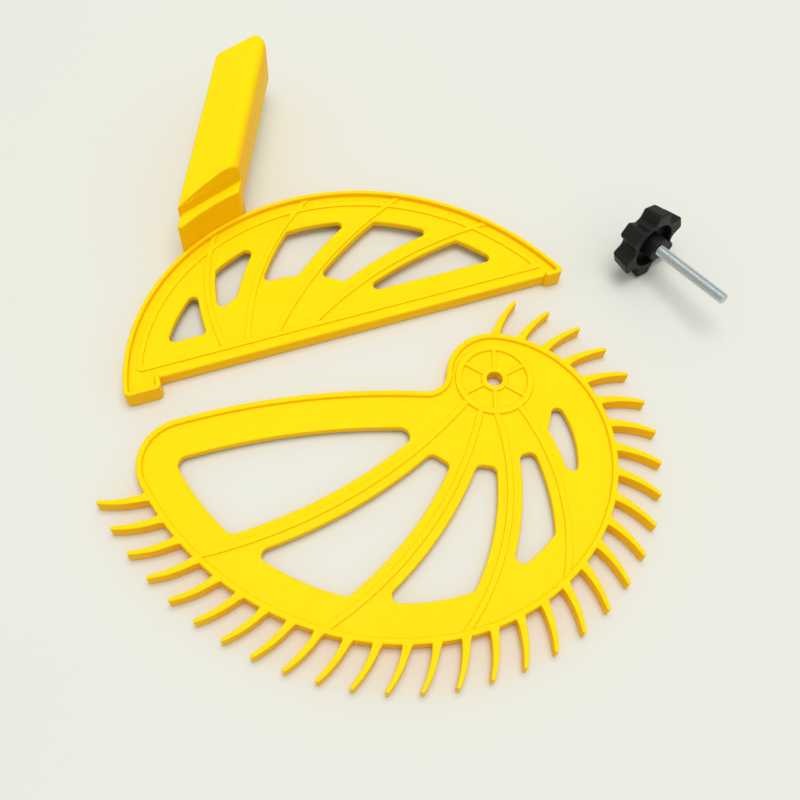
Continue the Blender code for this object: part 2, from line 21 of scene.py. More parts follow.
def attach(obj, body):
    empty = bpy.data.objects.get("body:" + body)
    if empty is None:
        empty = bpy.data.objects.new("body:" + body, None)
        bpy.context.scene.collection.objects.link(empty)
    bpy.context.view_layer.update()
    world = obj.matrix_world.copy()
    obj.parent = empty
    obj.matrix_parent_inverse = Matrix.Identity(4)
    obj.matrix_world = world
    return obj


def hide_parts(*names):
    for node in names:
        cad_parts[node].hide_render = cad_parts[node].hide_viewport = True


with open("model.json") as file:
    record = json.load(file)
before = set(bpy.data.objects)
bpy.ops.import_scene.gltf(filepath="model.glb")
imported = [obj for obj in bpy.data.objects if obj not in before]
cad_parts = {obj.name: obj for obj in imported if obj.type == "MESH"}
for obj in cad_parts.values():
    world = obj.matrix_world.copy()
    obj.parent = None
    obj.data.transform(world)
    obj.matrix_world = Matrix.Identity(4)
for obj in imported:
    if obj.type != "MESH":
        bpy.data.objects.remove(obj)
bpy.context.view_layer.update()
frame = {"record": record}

MM = 0.001
SMOOTH_ANGLE = math.radians(32.0)
ARC_STEP = 7.5
ARC_LEAST = 4
ROUND_STEPS = 2
FOOT_STEPS = 4
FOOT_SINK = 0.4
SEAM = 0.0001
SLIVER = 0.005
AXIS_SEAM = 0.001
HEXAGON = 6
MITRE_LIMIT = 0.8
PARALLEL = 1e-12
SAME_PLACE = 0.02
FLAT_FACE_WEIGHT = 50
GRAIN_DETAIL = 3.0
FLOW_DETAIL = 4.0
FLOW_TWIST = 1.2
BUMP_STRENGTH = 0.35
# Painted wall shading: faces whose normal points up less than the first level take the full wall
# colour, more than the second none.
PAINTED_SHADING_STEEP = 0.3
PAINTED_SHADING_LEVEL = 0.9
LOG = logging.getLogger("safety_set")

Path = np.ndarray
Point = tuple[float, float]
Span = tuple[float, float, int]
Profile = list[Point]
Colour = tuple[float, float, float]


class Join(Enum):
    """How a helper solid changes the solid that it meets."""

    ADD = "UNION"
    CUT = "DIFFERENCE"
    MEET = "INTERSECT"


class Body(Enum):
    """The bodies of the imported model."""

    BOARD = "featherboard"
    BLOCK = "push_block"
    SCREW = "clamp_screw"


class Slot(Enum):
    """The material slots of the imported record."""

    YELLOW = "yellow_plastic"
    BLACK = "black_plastic"
    STEEL = "zinc_steel"


@dataclass(frozen=True)
class Spiral:
    """A logarithmic spiral that opens clockwise from its zero direction.

    Attributes:
        pole: The point that the spiral winds about.
        radius: The radius in the zero direction.
        growth: The growth of the radius's logarithm per radian.
        zero: The zero direction.
    """

    pole: Point
    radius: float
    growth: float
    zero: float

    def turn_at(self, length: float) -> float:
        """The turn at an arc length.

        Args:
            length: The arc length from the zero direction.

        Returns:
            The turn in radians.
        """
        scale = self.growth / (self.radius * math.hypot(1.0, self.growth))
        return math.log(1.0 + length * scale) / self.growth

    def points(self, turns: Path) -> Path:
        """The points at the given turns.

        Args:
            turns: Turns in radians.

        Returns:
            One plan point for each turn.
        """
        radii = self.radius * np.exp(self.growth * np.asarray(turns))
        angles = math.radians(self.zero) - np.asarray(turns)
        return self.pole + np.column_stack([radii * np.cos(angles), radii * np.sin(angles)])

    def inside(self, turn: float, distance: float) -> Path:
        """A point of the spiral moved toward its pole.

        Args:
            turn: The turn in degrees.
            distance: How far to move.

        Returns:
            The plan point.
        """
        point = self.points(np.radians([turn]))[0]
        inward = self.pole - point
        return point + inward * distance / np.hypot(*inward)

    def travel(self, turn: float) -> Path:
        """The direction of clockwise travel.

        Args:
            turn: The turn in radians.

        Returns:
            A unit plan vector.
        """
        angle = math.radians(self.zero) - turn
        step = np.array([
            self.growth * math.cos(angle) + math.sin(angle),
            self.growth * math.sin(angle) - math.cos(angle),
        ])
        return step / np.hypot(*step)


def arc(centre: Point, radius: float, start: float, end: float, count: int) -> Path:
    """Points on a circle.

    Args:
        centre: The circle's centre.
        radius: The circle's radius.
        start: The first angle.
        end: The last angle.
        count: How many points.

    Returns:
        The points in order.
    """
    angles = np.radians(np.linspace(start, end, count))
    return np.array(centre) + radius * np.column_stack([np.cos(angles), np.sin(angles)])


def spot(radius: float, angle: float) -> Path:
    """One point given by its radius and angle about the origin."""
    return arc((0.0, 0.0), radius, angle, angle, 1)[0]


def circle(radius: float, count: int = 72) -> Path:
    """A closed clockwise circle about the origin."""
    return arc((0.0, 0.0), radius, 0.0, -360.0, count + 1)[:-1]


def line(start: Point, end: Point, count: int = 2) -> Path:
    """A straight edge from one point to another."""
    return np.linspace(np.array(start, float), np.array(end, float), count)


def through(start: Point, end: Point) -> Path:
    """A straight edge that runs past both of its points, for corners that are rounded.

    Args:
        start: The corner that it comes from.
        end: The corner that it goes to.

    Returns:
        The edge's two ends.
    """
    first = np.array(start)
    last = np.array(end)
    return line(first * 2 - last, last * 2 - first)


def right_bend(start: Point, end: Point, radius: float, count: int) -> Path:
    """An arc that bends to the right as it goes.

    Args:
        start: Its first point.
        end: Its last point.
        radius: Its radius.
        count: How many points.

    Returns:
        The points in order.
    """
    first = np.array(start)
    last = np.array(end)
    chord = last - first
    length = np.hypot(*chord)
    right = np.array([chord[1], -chord[0]]) / length
    centre = (first + last) / 2 + right * math.sqrt(radius**2 - length**2 / 4)
    from_angle = math.degrees(math.atan2(*(first - centre)[::-1]))
    to_angle = math.degrees(math.atan2(*(last - centre)[::-1]))
    if to_angle > from_angle:
        to_angle -= 360.0
    return arc(centre, radius, from_angle, to_angle, count)


def offset(path: Path, distance: float) -> Path:
    """An open path moved to the right of its travel.

    Args:
        path: The path.
        distance: How far to move it, negative to the left.

    Returns:
        The moved path, point for point.
    """
    steps = np.gradient(path, axis=0)
    right = np.column_stack([steps[:, 1], -steps[:, 0]])
    return path + distance * right / np.hypot(steps[:, 0], steps[:, 1])[:, None]


def outward(loop: Path) -> Path:
    """The mitred normals of a closed clockwise loop, pointing out of it.

    Args:
        loop: The loop.

    Returns:
        One normal for each point, longer at a sharp corner up to a limit.
    """
    ahead = np.roll(loop, -1, axis=0) - loop
    ahead /= np.hypot(ahead[:, 0], ahead[:, 1])[:, None]
    left = np.column_stack([-ahead[:, 1], ahead[:, 0]])
    both = left + np.roll(left, 1, axis=0)
    return 2.0 * both / np.maximum((both**2).sum(axis=1), MITRE_LIMIT)[:, None]


def clockwise(loop: Path) -> Path:
    """The loop, turned round if it runs the other way.

    Args:
        loop: A closed loop.

    Returns:
        The same loop, running clockwise.
    """
    after = np.roll(loop, -1, axis=0)
    area = (loop[:, 0] * after[:, 1] - loop[:, 1] * after[:, 0]).sum()
    return loop if area < 0 else loop[::-1]


def place_on(path: Path, place: float) -> Path:
    """The point at a place along a path, counted in points."""
    index = min(int(place), len(path) - 2)
    return path[index] + (place - index) * (path[index + 1] - path[index])


def crossing(first: Path, second: Path) -> tuple[float, float]:
    """The last place where one path meets another.

    Args:
        first: The path whose last meeting counts.
        second: The other path.

    Returns:
        The place along each path.
    """
    step_a = np.diff(first, axis=0)[:, None]
    step_b = np.diff(second, axis=0)[None, :]
    gap = second[None, :-1] - first[:-1, None]
    area = step_a[..., 0] * step_b[..., 1] - step_a[..., 1] * step_b[..., 0]
    area = np.where(np.abs(area) < PARALLEL, np.nan, area)
    along_a = (gap[..., 0] * step_b[..., 1] - gap[..., 1] * step_b[..., 0]) / area
    along_b = (gap[..., 0] * step_a[..., 1] - gap[..., 1] * step_a[..., 0]) / area
    meets = (along_a >= 0) & (along_a <= 1) & (along_b >= 0) & (along_b <= 1)
    if not meets.any():
        raise ValueError("two edges of an outline don't meet")
    row, column = max(np.argwhere(meets), key=lambda hit: hit[0] + along_a[hit[0], hit[1]])
    return row + along_a[row, column], column + along_b[row, column]


def between(path: Path, start: float, end: float) -> Path:
    """The part of a path from one place to another.

    Args:
        path: The path.
        start: The first place, counted in points.
        end: The last place.

    Returns:
        The points from start to end, without any that nearly coincide with them.
    """
    first = math.ceil(start + SAME_PLACE)
    last = math.floor(end - SAME_PLACE)
    return np.array([place_on(path, start), *path[first : last + 1], place_on(path, end)])


def rounded(first: Path, second: Path, radius: float) -> tuple[float, float, Path]:
    """The tangent arc between two edges.

    Args:
        first: The edge that the arc leaves.
        second: The edge that the arc meets.
        radius: The arc's radius, negative where the path turns left.

    Returns:
        The place on each edge where the arc ends, and the arc.
    """
    place_a, place_b = crossing(offset(first, radius), offset(second, radius))
    start = place_on(first, place_a)
    end = place_on(second, place_b)
    centre = place_on(offset(first, radius), place_a)
    from_angle = math.degrees(math.atan2(*(start - centre)[::-1]))
    to_angle = math.degrees(math.atan2(*(end - centre)[::-1]))
    side = math.copysign(1.0, radius)
    turn = (side * (from_angle - to_angle)) % 360.0
    count = max(ARC_LEAST, math.ceil(turn / ARC_STEP) + 1)
    return place_a, place_b, arc(centre, abs(radius), from_angle, from_angle - side * turn, count)


def chain(edges: list[Path], radii: tuple[float, ...], closed: bool = True) -> Path:
    """One path along the edges in turn, with rounded corners.

    Args:
        edges: The edges in order.
        radii: Each corner's radius, negative where the path turns left.
        closed: Whether the last edge meets the first.

    Returns:
        The path's points.
    """
    starts = [0.0] * len(edges)
    ends = [len(edge) - 1.0 for edge in edges]
    fillets = [np.empty((0, 2))] * len(edges)
    for here in range(len(edges) if closed else len(edges) - 1):
        after = (here + 1) % len(edges)
        ends[here], starts[after], fillet = rounded(edges[here], edges[after], radii[here])
        fillets[here] = fillet[1:-1]
    pieces = []
    for edge, start, end, fillet in zip(edges, starts, ends, fillets):
        pieces += [between(edge, start, end), fillet]
    return np.vstack(pieces)


def strip(path: Path, width: float) -> Path:
    """The loop round a band that runs along a path."""
    return np.vstack([offset(path, -width / 2), offset(path, width / 2)[::-1]])


def seal(mesh: Mesh, gap: float) -> None:
    """Joins points that nearly touch, drops hair-thin faces and turns a solid's faces outward.

    Args:
        mesh: The solid's mesh.
        gap: How far apart the joined points may be.
    """
    work = bmesh.new()
    work.from_mesh(mesh)
    bmesh.ops.remove_doubles(work, verts=work.verts, dist=gap * MM)
    bmesh.ops.dissolve_degenerate(work, edges=work.edges, dist=gap * MM)
    bmesh.ops.recalc_face_normals(work, faces=work.faces)
    closed = all(edge.is_manifold for edge in work.edges)
    work.to_mesh(mesh)
    work.free()
    if not closed:
        raise ValueError(f"{mesh.name} isn't a closed solid")


def add_object(name: str, mesh: Mesh) -> Object:
    """Puts a mesh in the scene, with its seams joined and its faces turned outward.

    Args:
        name: The object's name.
        mesh: Its mesh.

    Returns:
        The new object.
    """
    mesh.name = name
    seal(mesh, SEAM)
    made = bpy.data.objects.new(name, mesh)
    bpy.context.scene.collection.objects.link(made)
    return made


def evaluated_mesh(thing: Object) -> Mesh:
    """The object's mesh with its modifiers, as a mesh of its own.

    Args:
        thing: The object.

    Returns:
        The new mesh.
    """
    bpy.context.view_layer.update()
    graph = bpy.context.evaluated_depsgraph_get()
    return bpy.data.meshes.new_from_object(thing.evaluated_get(graph))


def prism(name: str, loops: list[Path], low: float, high: float, edge: float) -> Object:
    """A solid over plan loops with rounded upper and lower edges.

    Args:
        name: The object's name.
        loops: Closed loops, an inner one being a hole.
        low: The lower level.
        high: The upper level.
        edge: The radius of the rounded edges.

    Returns:
        The solid.
    """
    curve = bpy.data.curves.new(name, "CURVE")
    curve.dimensions = "2D"
    curve.fill_mode = "BOTH"
    curve.extrude = ((high - low) / 2 - edge) * MM
    curve.bevel_depth = edge * MM
    curve.bevel_resolution = ROUND_STEPS
    curve.offset = -edge * MM
    for loop in loops:
        spline = curve.splines.new("POLY")
        spline.points.add(len(loop) - 1)
        spline.use_cyclic_u = True
        for point, (x, y) in zip(spline.points, loop):
            point.co = (x * MM, y * MM, 0.0, 1.0)
    holder = bpy.data.objects.new(name + "_outline", curve)
    bpy.context.scene.collection.objects.link(holder)
    mesh = evaluated_mesh(holder)
    mesh.transform(Matrix.Translation((0.0, 0.0, (low + high) / 2 * MM)))
    bpy.data.objects.remove(holder)
    return add_object(name, mesh)


def lofted(name: str, rings: list[Path], caps: list[Path]) -> Object:
    """A solid through closed rings of points.

    Args:
        name: The object's name.
        rings: Rings of points in space, all of one length.
        caps: The first and the last ring laid out flat, for filling them.

    Returns:
        The solid.
    """
    count = len(rings[0])
    faces = []
    for ring in range(len(rings) - 1):
        low = ring * count
        high = low + count
        for here in range(count):
            there = (here + 1) % count
            faces.append((low + here, low + there, high + there, high + here))
    for flat, first in zip(caps, (0, (len(rings) - 1) * count)):
        corners = [Vector((x, y, 0.0)) for x, y in flat]
        faces += [tuple(first + i for i in triangle) for triangle in tessellate_polygon([corners])]
    mesh = bpy.data.meshes.new(name)
    mesh.from_pydata((np.vstack(rings) * MM).tolist(), [], faces)
    return add_object(name, mesh)


def swept(name: str, path: Path, profile: Profile, closed: bool = True) -> Object:
    """A band that carries one profile along a path.

    Args:
        name: The object's name.
        path: A plan path.
        profile: Points as distance to the path's left and height, round the band's section.
        closed: Whether the path is a loop.

    Returns:
        The solid.
    """
    path = clockwise(path) if closed else path
    count = len(path)
    points = []
    for out, height in profile:
        ring = path + outward(path) * out if closed else offset(path, -out)
        points.append(np.column_stack([ring, np.full(count, height)]))
    faces = []
    for row in range(len(profile)):
        low = row * count
        high = (row + 1) % len(profile) * count
        for here in range(count if closed else count - 1):
            there = (here + 1) % count
            faces.append((low + here, low + there, high + there, high + here))
    if not closed:
        for end in (0, count - 1):
            faces.append(tuple(row * count + end for row in range(len(profile))))
    mesh = bpy.data.meshes.new(name)
    mesh.from_pydata((np.vstack(points) * MM).tolist(), [], faces)
    return add_object(name, mesh)


def foot(
    name: str,
    wall: Path,
    level: float,
    radius: float,
    out: bool = True,
    up: bool = True,
    closed: bool = True,
) -> Object:
    """The moulded fillet where a raised wall meets a flat face.

    Args:
        name: The object's name.
        wall: The wall's plan path.
        level: The height of the flat face.
        radius: The fillet's radius.
        out: Whether the flat face lies outside the wall, which is to the left of its travel.
        up: Whether the wall rises above the face or hangs below it.
        closed: Whether the wall is a loop.

    Returns:
        The solid.
    """
    side = 1.0 if out else -1.0
    rise = 1.0 if up else -1.0
    profile = [
        (-side * FOOT_SINK, level - rise * FOOT_SINK),
        (-side * FOOT_SINK, level + rise * radius),
    ]
    for angle in np.linspace(math.pi, math.pi * 1.5, FOOT_STEPS + 1):
        across = radius * (1.0 + math.cos(angle))
        height = radius * (1.0 + math.sin(angle))
        profile.append((side * across, level + rise * height))
    profile.append((side * radius, level - rise * FOOT_SINK))
    return swept(name, wall, profile, closed)


def turned(name: str, profile: Profile, steps: int = 72) -> Object:
    """A solid of revolution about Z.

    Args:
        name: The object's name.
        profile: Radius and height points that run down the outer side, from the axis to the axis.
        steps: How many facets go round.

    Returns:
        The solid.
    """
    mesh = bpy.data.meshes.new(name)
    points = [(radius * MM, 0.0, height * MM) for radius, height in profile]
    mesh.from_pydata(points, [(i, i + 1) for i in range(len(points) - 1)], [])
    holder = bpy.data.objects.new(name + "_profile", mesh)
    bpy.context.scene.collection.objects.link(holder)
    screw = holder.modifiers.new("turn", "SCREW")
    screw.steps = steps
    screw.render_steps = steps
    screw.use_merge_vertices = True
    screw.merge_threshold = AXIS_SEAM * MM
    solid = evaluated_mesh(holder)
    bpy.data.objects.remove(holder)
    return add_object(name, solid)


def combine(target: Object, others: list[Object], join: Join = Join.ADD) -> None:
    """Joins a solid with others, which are used up.

    Args:
        target: The solid that stays.
        others: The solids that change it.
        join: How they change it.
    """
    for other in others:
        step = target.modifiers.new(join.value.lower(), "BOOLEAN")
        step.operation = join.value
        step.solver = "MANIFOLD"
        step.object = other
        target.data = evaluated_mesh(target)
        target.modifiers.clear()
        bpy.data.objects.remove(other)
    seal(target.data, SLIVER)


def soften(piece: Object) -> None:
    """Shades a piece smooth across its rounded edges, with the flat faces kept flat.

    Args:
        piece: The piece.
    """
    piece.data.shade_smooth()
    piece.data.set_sharp_from_angle(angle=SMOOTH_ANGLE)
    weighted = piece.modifiers.new("flat_faces_first", "WEIGHTED_NORMAL")
    weighted.mode = "FACE_AREA"
    weighted.weight = FLAT_FACE_WEIGHT
    weighted.keep_sharp = True


def hand_over(piece: Object, finish: Material, node: str, body: Body) -> None:
    """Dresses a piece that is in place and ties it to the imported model.

    Args:
        piece: The piece.
        finish: Its material.
        node: The CAD node that it stands for.
        body: The body that it rides on.
    """
    piece.data.materials.clear()
    piece.data.materials.append(finish)
    soften(piece)
    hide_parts(node)
    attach(piece, body.value)


def joint_line(name: str) -> tuple[Vector, Vector]:
    """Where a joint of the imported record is.

    Args:
        name: The joint's name.

    Returns:
        A point on its axis in millimetres, and the axis.
    """
    for joint in frame["record"]["behaviour"]["joints"]:
        if joint["name"] == name:
            return Vector(joint["pos_m"]) / MM, Vector(joint["axis"]).normalized()
    raise ValueError(f"the record has no joint {name}")


def new_group(name: str, inputs: dict[str, float], outputs: tuple[str, ...]) -> NodeTree:
    """An empty shader node group with named sockets for numbers.

    Args:
        name: The group's name.
        inputs: Each input's name and its usual value.
        outputs: Each output's name.

    Returns:
        The group.
    """
    group = bpy.data.node_groups.new(name, "ShaderNodeTree")
    for label, value in inputs.items():
        socket = group.interface.new_socket(label, in_out="INPUT", socket_type="NodeSocketFloat")
        socket.default_value = value
    for label in outputs:
        group.interface.new_socket(label, in_out="OUTPUT", socket_type="NodeSocketFloat")
    return group


def moulded_surface_and_wall_shading() -> NodeTree:
    """The group that the finishes share: fine grain, flow marks, uneven gloss and painted wall
    shading.

    Returns:
        A group with Height, Flow, Gloss and Painted Wall Shading outputs, the last a painted-shade
        mask for steep faces.
    """
    group = new_group(
        "moulded_surface_and_wall_shading",
        {"Grain Size": 2500.0, "Flow Size": 14.0, "Gloss Low": 0.34, "Gloss High": 0.46},
        ("Height", "Flow", "Gloss", "Painted Wall Shading"),
    )
    nodes = group.nodes
    links = group.links
    given = nodes.new("NodeGroupInput")
    result = nodes.new("NodeGroupOutput")
    place = nodes.new("ShaderNodeTexCoord")
    grain = nodes.new("ShaderNodeTexNoise")
    grain.inputs["Detail"].default_value = GRAIN_DETAIL
    links.new(place.outputs["Object"], grain.inputs["Vector"])
    links.new(given.outputs["Grain Size"], grain.inputs["Scale"])
    flow = nodes.new("ShaderNodeTexNoise")
    flow.inputs["Detail"].default_value = FLOW_DETAIL
    flow.inputs["Distortion"].default_value = FLOW_TWIST
    links.new(place.outputs["Object"], flow.inputs["Vector"])
    links.new(given.outputs["Flow Size"], flow.inputs["Scale"])
    gloss = nodes.new("ShaderNodeMapRange")
    links.new(flow.outputs["Fac"], gloss.inputs["Value"])
    links.new(given.outputs["Gloss Low"], gloss.inputs["To Min"])
    links.new(given.outputs["Gloss High"], gloss.inputs["To Max"])
    # Painted shading: a mask that rises as a face turns steep, so that walls take a colour standing
    # in for the shade they get.
    way = nodes.new("ShaderNodeSeparateXYZ")
    links.new(place.outputs["Normal"], way.inputs["Vector"])
    level = nodes.new("ShaderNodeMath")
    level.operation = "ABSOLUTE"
    links.new(way.outputs["Z"], level.inputs[0])
    wall = nodes.new("ShaderNodeMapRange")
    wall.inputs["From Min"].default_value = PAINTED_SHADING_STEEP
    wall.inputs["From Max"].default_value = PAINTED_SHADING_LEVEL
    wall.inputs["To Min"].default_value = 1.0
    wall.inputs["To Max"].default_value = 0.0
    links.new(level.outputs["Value"], wall.inputs["Value"])
    links.new(grain.outputs["Fac"], result.inputs["Height"])
    links.new(flow.outputs["Fac"], result.inputs["Flow"])
    links.new(gloss.outputs["Result"], result.inputs["Gloss"])
    links.new(wall.outputs["Result"], result.inputs["Painted Wall Shading"])
    return group


@dataclass(frozen=True)
class Finish:
    """A finish whose tone, gloss and relief come from the moulded surface group, with painted
    shading on its steep walls.
    """

    name: str
    colour: Colour
    flow_colour: Colour
    # Painted shading: the colour that steep walls take in place of the lit colour.
    painted_wall_shading: Colour
    gloss: tuple[float, float]
    grain_size: float
    flow_size: float
    relief: float
    shine: float

    def make(self, surface: NodeTree) -> Material:
        """Builds the material.

        Args:
            surface: The moulded surface group, with its painted wall shading.

        Returns:
            The material.
        """
        material = bpy.data.materials.new(self.name)
        material.use_nodes = True
        nodes = material.node_tree.nodes
        links = material.node_tree.links
        shader = nodes["Principled BSDF"]
        marks_and_wall_shading = nodes.new("ShaderNodeGroup")
        marks_and_wall_shading.node_tree = surface
        marks_and_wall_shading.inputs["Grain Size"].default_value = self.grain_size
        marks_and_wall_shading.inputs["Flow Size"].default_value = self.flow_size
        marks_and_wall_shading.inputs["Gloss Low"].default_value = self.gloss[0]
        marks_and_wall_shading.inputs["Gloss High"].default_value = self.gloss[1]
        face = nodes.new("ShaderNodeMix")
        face.data_type = "RGBA"
        face.inputs["A"].default_value = (*self.colour, 1.0)
        face.inputs["B"].default_value = (*self.flow_colour, 1.0)
        links.new(marks_and_wall_shading.outputs["Flow"], face.inputs["Factor"])
        # Painted shading: steep walls are mixed toward the wall colour.
        wall_shading_mix = nodes.new("ShaderNodeMix")
        wall_shading_mix.data_type = "RGBA"
        wall_shading_mix.inputs["B"].default_value = (*self.painted_wall_shading, 1.0)
        links.new(marks_and_wall_shading.outputs["Painted Wall Shading"], wall_shading_mix.inputs["Factor"])
        links.new(face.outputs["Result"], wall_shading_mix.inputs["A"])
        links.new(wall_shading_mix.outputs["Result"], shader.inputs["Base Color"])
        links.new(marks_and_wall_shading.outputs["Gloss"], shader.inputs["Roughness"])
        bump = nodes.new("ShaderNodeBump")
        bump.inputs["Strength"].default_value = BUMP_STRENGTH
        bump.inputs["Distance"].default_value = self.relief * MM
        links.new(marks_and_wall_shading.outputs["Height"], bump.inputs["Height"])
        links.new(bump.outputs["Normal"], shader.inputs["Normal"])
        self.set_shader(shader)
        return material

    def set_shader(self, shader: Node) -> None:
        """Sets the values that are the same all over the surface."""
        shader.inputs["Specular IOR Level"].default_value = self.shine


@dataclass(frozen=True)
class MouldedFinish(Finish):
    """Injection-moulded plastic with a little light inside it."""

    glow: float
    glow_reach: Colour
    glow_scale: float

    def set_shader(self, shader: Node) -> None:
        """Adds the light inside the plastic to the uniform values.

        Args:
            shader: The material's Principled node.
        """
        Finish.set_shader(self, shader)
        shader.inputs["Subsurface Weight"].default_value = self.glow
        shader.inputs["Subsurface Radius"].default_value = self.glow_reach
        shader.inputs["Subsurface Scale"].default_value = self.glow_scale * MM


@dataclass(frozen=True)
class PlatedFinish(Finish):
    """Bright zinc plate with cloudy gloss and fine pits."""

    def set_shader(self, shader: Node) -> None:
        """Makes the uniform values those of a metal."""
        Finish.set_shader(self, shader)
        shader.inputs["Metallic"].default_value = 1.0


@dataclass
class Featherboard:
    """The spiral featherboard, measured from the axis of its hub bore.

    Each rib has its angle at the hub, its turn at the rim and its radius. A span has a first value,
    a last value and a number of points. The search for the hub's join is in radians along the rim.
    """

    thickness: float = 8.0
    rim_pole: Point = (-13.5, -22.0)
    rim_radius: float = 47.0
    rim_growth: float = 0.282
    rim_zero: float = 90.0
    rim_points: int = 190
    rim_overrun: float = 72.0
    bead_width: float = 3.0
    bead_edge: float = 0.9
    web: float = 4.2
    web_edge: float = 0.8
    top_edge_radius: float = 350.0
    top_edge_crown: Point = (-13.0, -10.6)
    top_edge_span: Span = (-31.0, 2.0, 70)
    corner_radius: float = 24.0
    throat_radius: float = 10.5
    feather_count: int = 31
    feather_pitch: float = 13.33
    feather_first: float = 13.1
    feather_length: float = 22.2
    feather_root: float = 4.0
    feather_tip: float = 2.0
    feather_tip_angles: tuple[float, ...] = (-70.0, -42.0, -14.0, 14.0, 42.0, 70.0)
    feather_foot_shares: Span = (0.0, 0.2, 7)
    feather_blade_shares: Span = (0.3, 1.0, 8)
    feather_flare: float = 0.5
    feather_flare_reach: float = 0.8
    feather_lean: float = 13.0
    feather_curl: float = 23.0
    feather_lift: float = 0.2
    feather_drop: float = 0.1
    feather_edge: float = 0.55
    hub_edge_at: Point = (0.0, 2.3)
    hub_edge_turn: float = 150.0
    hub_edge_points: int = 60
    hub_join_search: Span = (-0.6, 1.2, 361)
    bore: float = 4.0
    boss: float = 6.8
    ring_inner: float = 16.7
    ring_outer: float = 20.0
    ring: float = 7.0
    ring_edge: float = 0.7
    spoke_count: int = 6
    spoke_width: float = 2.0
    spoke: float = 6.6
    spoke_at: float = 94.0
    spoke_points: int = 6
    spoke_edge: float = 0.5
    ribs: tuple[tuple[float, float, float], ...] = (
        (226.0, 234.1, 243.0),
        (251.0, 206.4, 186.0),
        (275.0, 176.8, 132.0),
        (313.5, 147.5, 117.0),
    )
    rib_points: int = 40
    rib_width: float = 3.0
    rib: float = 6.2
    rib_edge: float = 0.5
    fillet: float = 0.4
    rim_band: float = 19.5
    top_band: float = 20.0
    rib_band: float = 6.0
    window_hub: tuple[float, ...] = (52.5, 48.0, 43.0, 60.0)
    window_hub_at: tuple[Point, ...] = ((0.0, 0.0), (0.0, 0.0), (0.0, 0.0), (-30.4, -10.8))
    window_hub_turn: Span = (-40.0, 75.0, 60)
    window_fillets: tuple[float, ...] = (3.6, 3.6, 3.6, 3.1)
    taper_fillet: float = 4.8
    rim: Spiral = field(init=False)
    long_edge: Path = field(init=False)
    body_edge: Path = field(init=False)
    top_edge: Path = field(init=False)
    rib_paths: list[Path] = field(init=False)

    def __post_init__(self) -> None:
        """Makes the rim's spiral and the long edges that the rest is measured from."""
        self.rim = Spiral(self.rim_pole, self.rim_radius, self.rim_growth, self.rim_zero)
        turns = np.linspace(*self.hub_join_search)
        nearest = turns[np.argmin(np.hypot(*(self.rim.points(turns) - self.hub_edge_at).T))]
        join = self.rim.points([nearest])[0] - self.hub_edge_at
        angle = math.degrees(math.atan2(join[1], join[0]))
        from_angle = angle + self.hub_edge_turn
        hub_arc = arc(self.hub_edge_at, np.hypot(*join), from_angle, angle, self.hub_edge_points)
        last = self.feather_first + (self.feather_count - 1) * self.feather_pitch
        end_turn = self.rim.turn_at(last + self.rim_overrun)
        self.long_edge = self.rim.points(np.linspace(nearest, end_turn, self.rim_points))
        self.body_edge = np.vstack([hub_arc[:-1], self.long_edge])
        centre = (self.top_edge_crown[0], self.top_edge_crown[1] - self.top_edge_radius)
        start, end, count = self.top_edge_span
        self.top_edge = arc(centre, self.top_edge_radius, 90.0 - start, 90.0 - end, count)
        self.rib_paths = []
        for angle, turn, radius in self.ribs:
            start = spot((self.ring_inner + self.ring_outer) / 2, angle)
            end = self.rim.inside(turn, self.bead_width / 2)
            self.rib_paths.append(right_bend(start, end, radius, self.rib_points))

    def layer(self, depth: float) -> tuple[float, float]:
        """The lower and upper level of a layer centred in the board."""
        return (self.thickness - depth) / 2, (self.thickness + depth) / 2

    def body_loop(self, inset: float) -> Path:
        """The outline of the board without feathers, moved inward."""
        edges = [offset(self.body_edge, inset), offset(self.top_edge, inset)]
        return chain(edges, (self.corner_radius - inset, -self.throat_radius - inset))

    def window_loops(self) -> list[Path]:
        """The outlines of the windows, from the left round to the hub's right.

        Returns:
            One closed loop for each window.
        """
        rim_inner = offset(self.long_edge, self.rim_band)
        top = offset(self.top_edge, self.top_band)
        first = [top, offset(self.rib_paths[0], self.rib_band), rim_inner]
        loops = [chain(first, (self.taper_fillet,) * len(first))]
        start, end, count = self.window_hub_turn
        for index, radius in enumerate(self.window_hub):
            angle = self.ribs[index][0]
            edges = [arc(self.window_hub_at[index], radius, angle + start, angle + end, count)]
            if index + 1 < len(self.ribs):
                edges.append(offset(self.rib_paths[index + 1], self.rib_band))
            edges += [rim_inner, offset(self.rib_paths[index], -self.rib_band)[::-1]]
            loops.append(chain(edges, (self.window_fillets[index],) * len(edges)))
        return loops

    def feather_loop(self, index: int) -> Path:
        """One feather in plan.

        Args:
            index: Its place along the rim, counted from the hub.

        Returns:
            The loop up its near edge, round the tip and back.
        """
        turn = self.rim.turn_at(self.feather_first + index * self.feather_pitch)
        root = self.rim.points([turn])[0]
        along = self.rim.travel(turn)
        out_way = np.array([-along[1], along[0]])
        lean = math.radians(self.feather_lean)
        curl = math.radians(self.feather_curl)
        bend = self.feather_length / curl
        near = []
        far = []
        shares = [-self.bead_width / 2 / self.feather_length]
        shares += [*np.linspace(*self.feather_foot_shares)]
        shares += [*np.linspace(*self.feather_blade_shares)]
        for share in shares:
            heading = lean + curl * share
            out = bend * (math.sin(heading) - math.sin(lean))
            side = bend * (math.cos(lean) - math.cos(heading))
            half = (self.feather_root + share * (self.feather_tip - self.feather_root)) / 2
            half += self.feather_flare * math.exp(-max(out, 0.0) / self.feather_flare_reach)
            centre = root + out_way * out + along * side
            across = along * math.cos(heading) - out_way * math.sin(heading)
            near.append(centre - half * across)
            far.append(centre + half * across)
        tip_way = out_way * math.cos(heading) + along * math.sin(heading)
        round_tip = []
        for angle in np.radians(self.feather_tip_angles):
            reach = tip_way * math.cos(angle) + across * math.sin(angle)
            round_tip.append(centre + reach * self.feather_tip / 2)
        return np.array([*near, *round_tip, *far[::-1]])

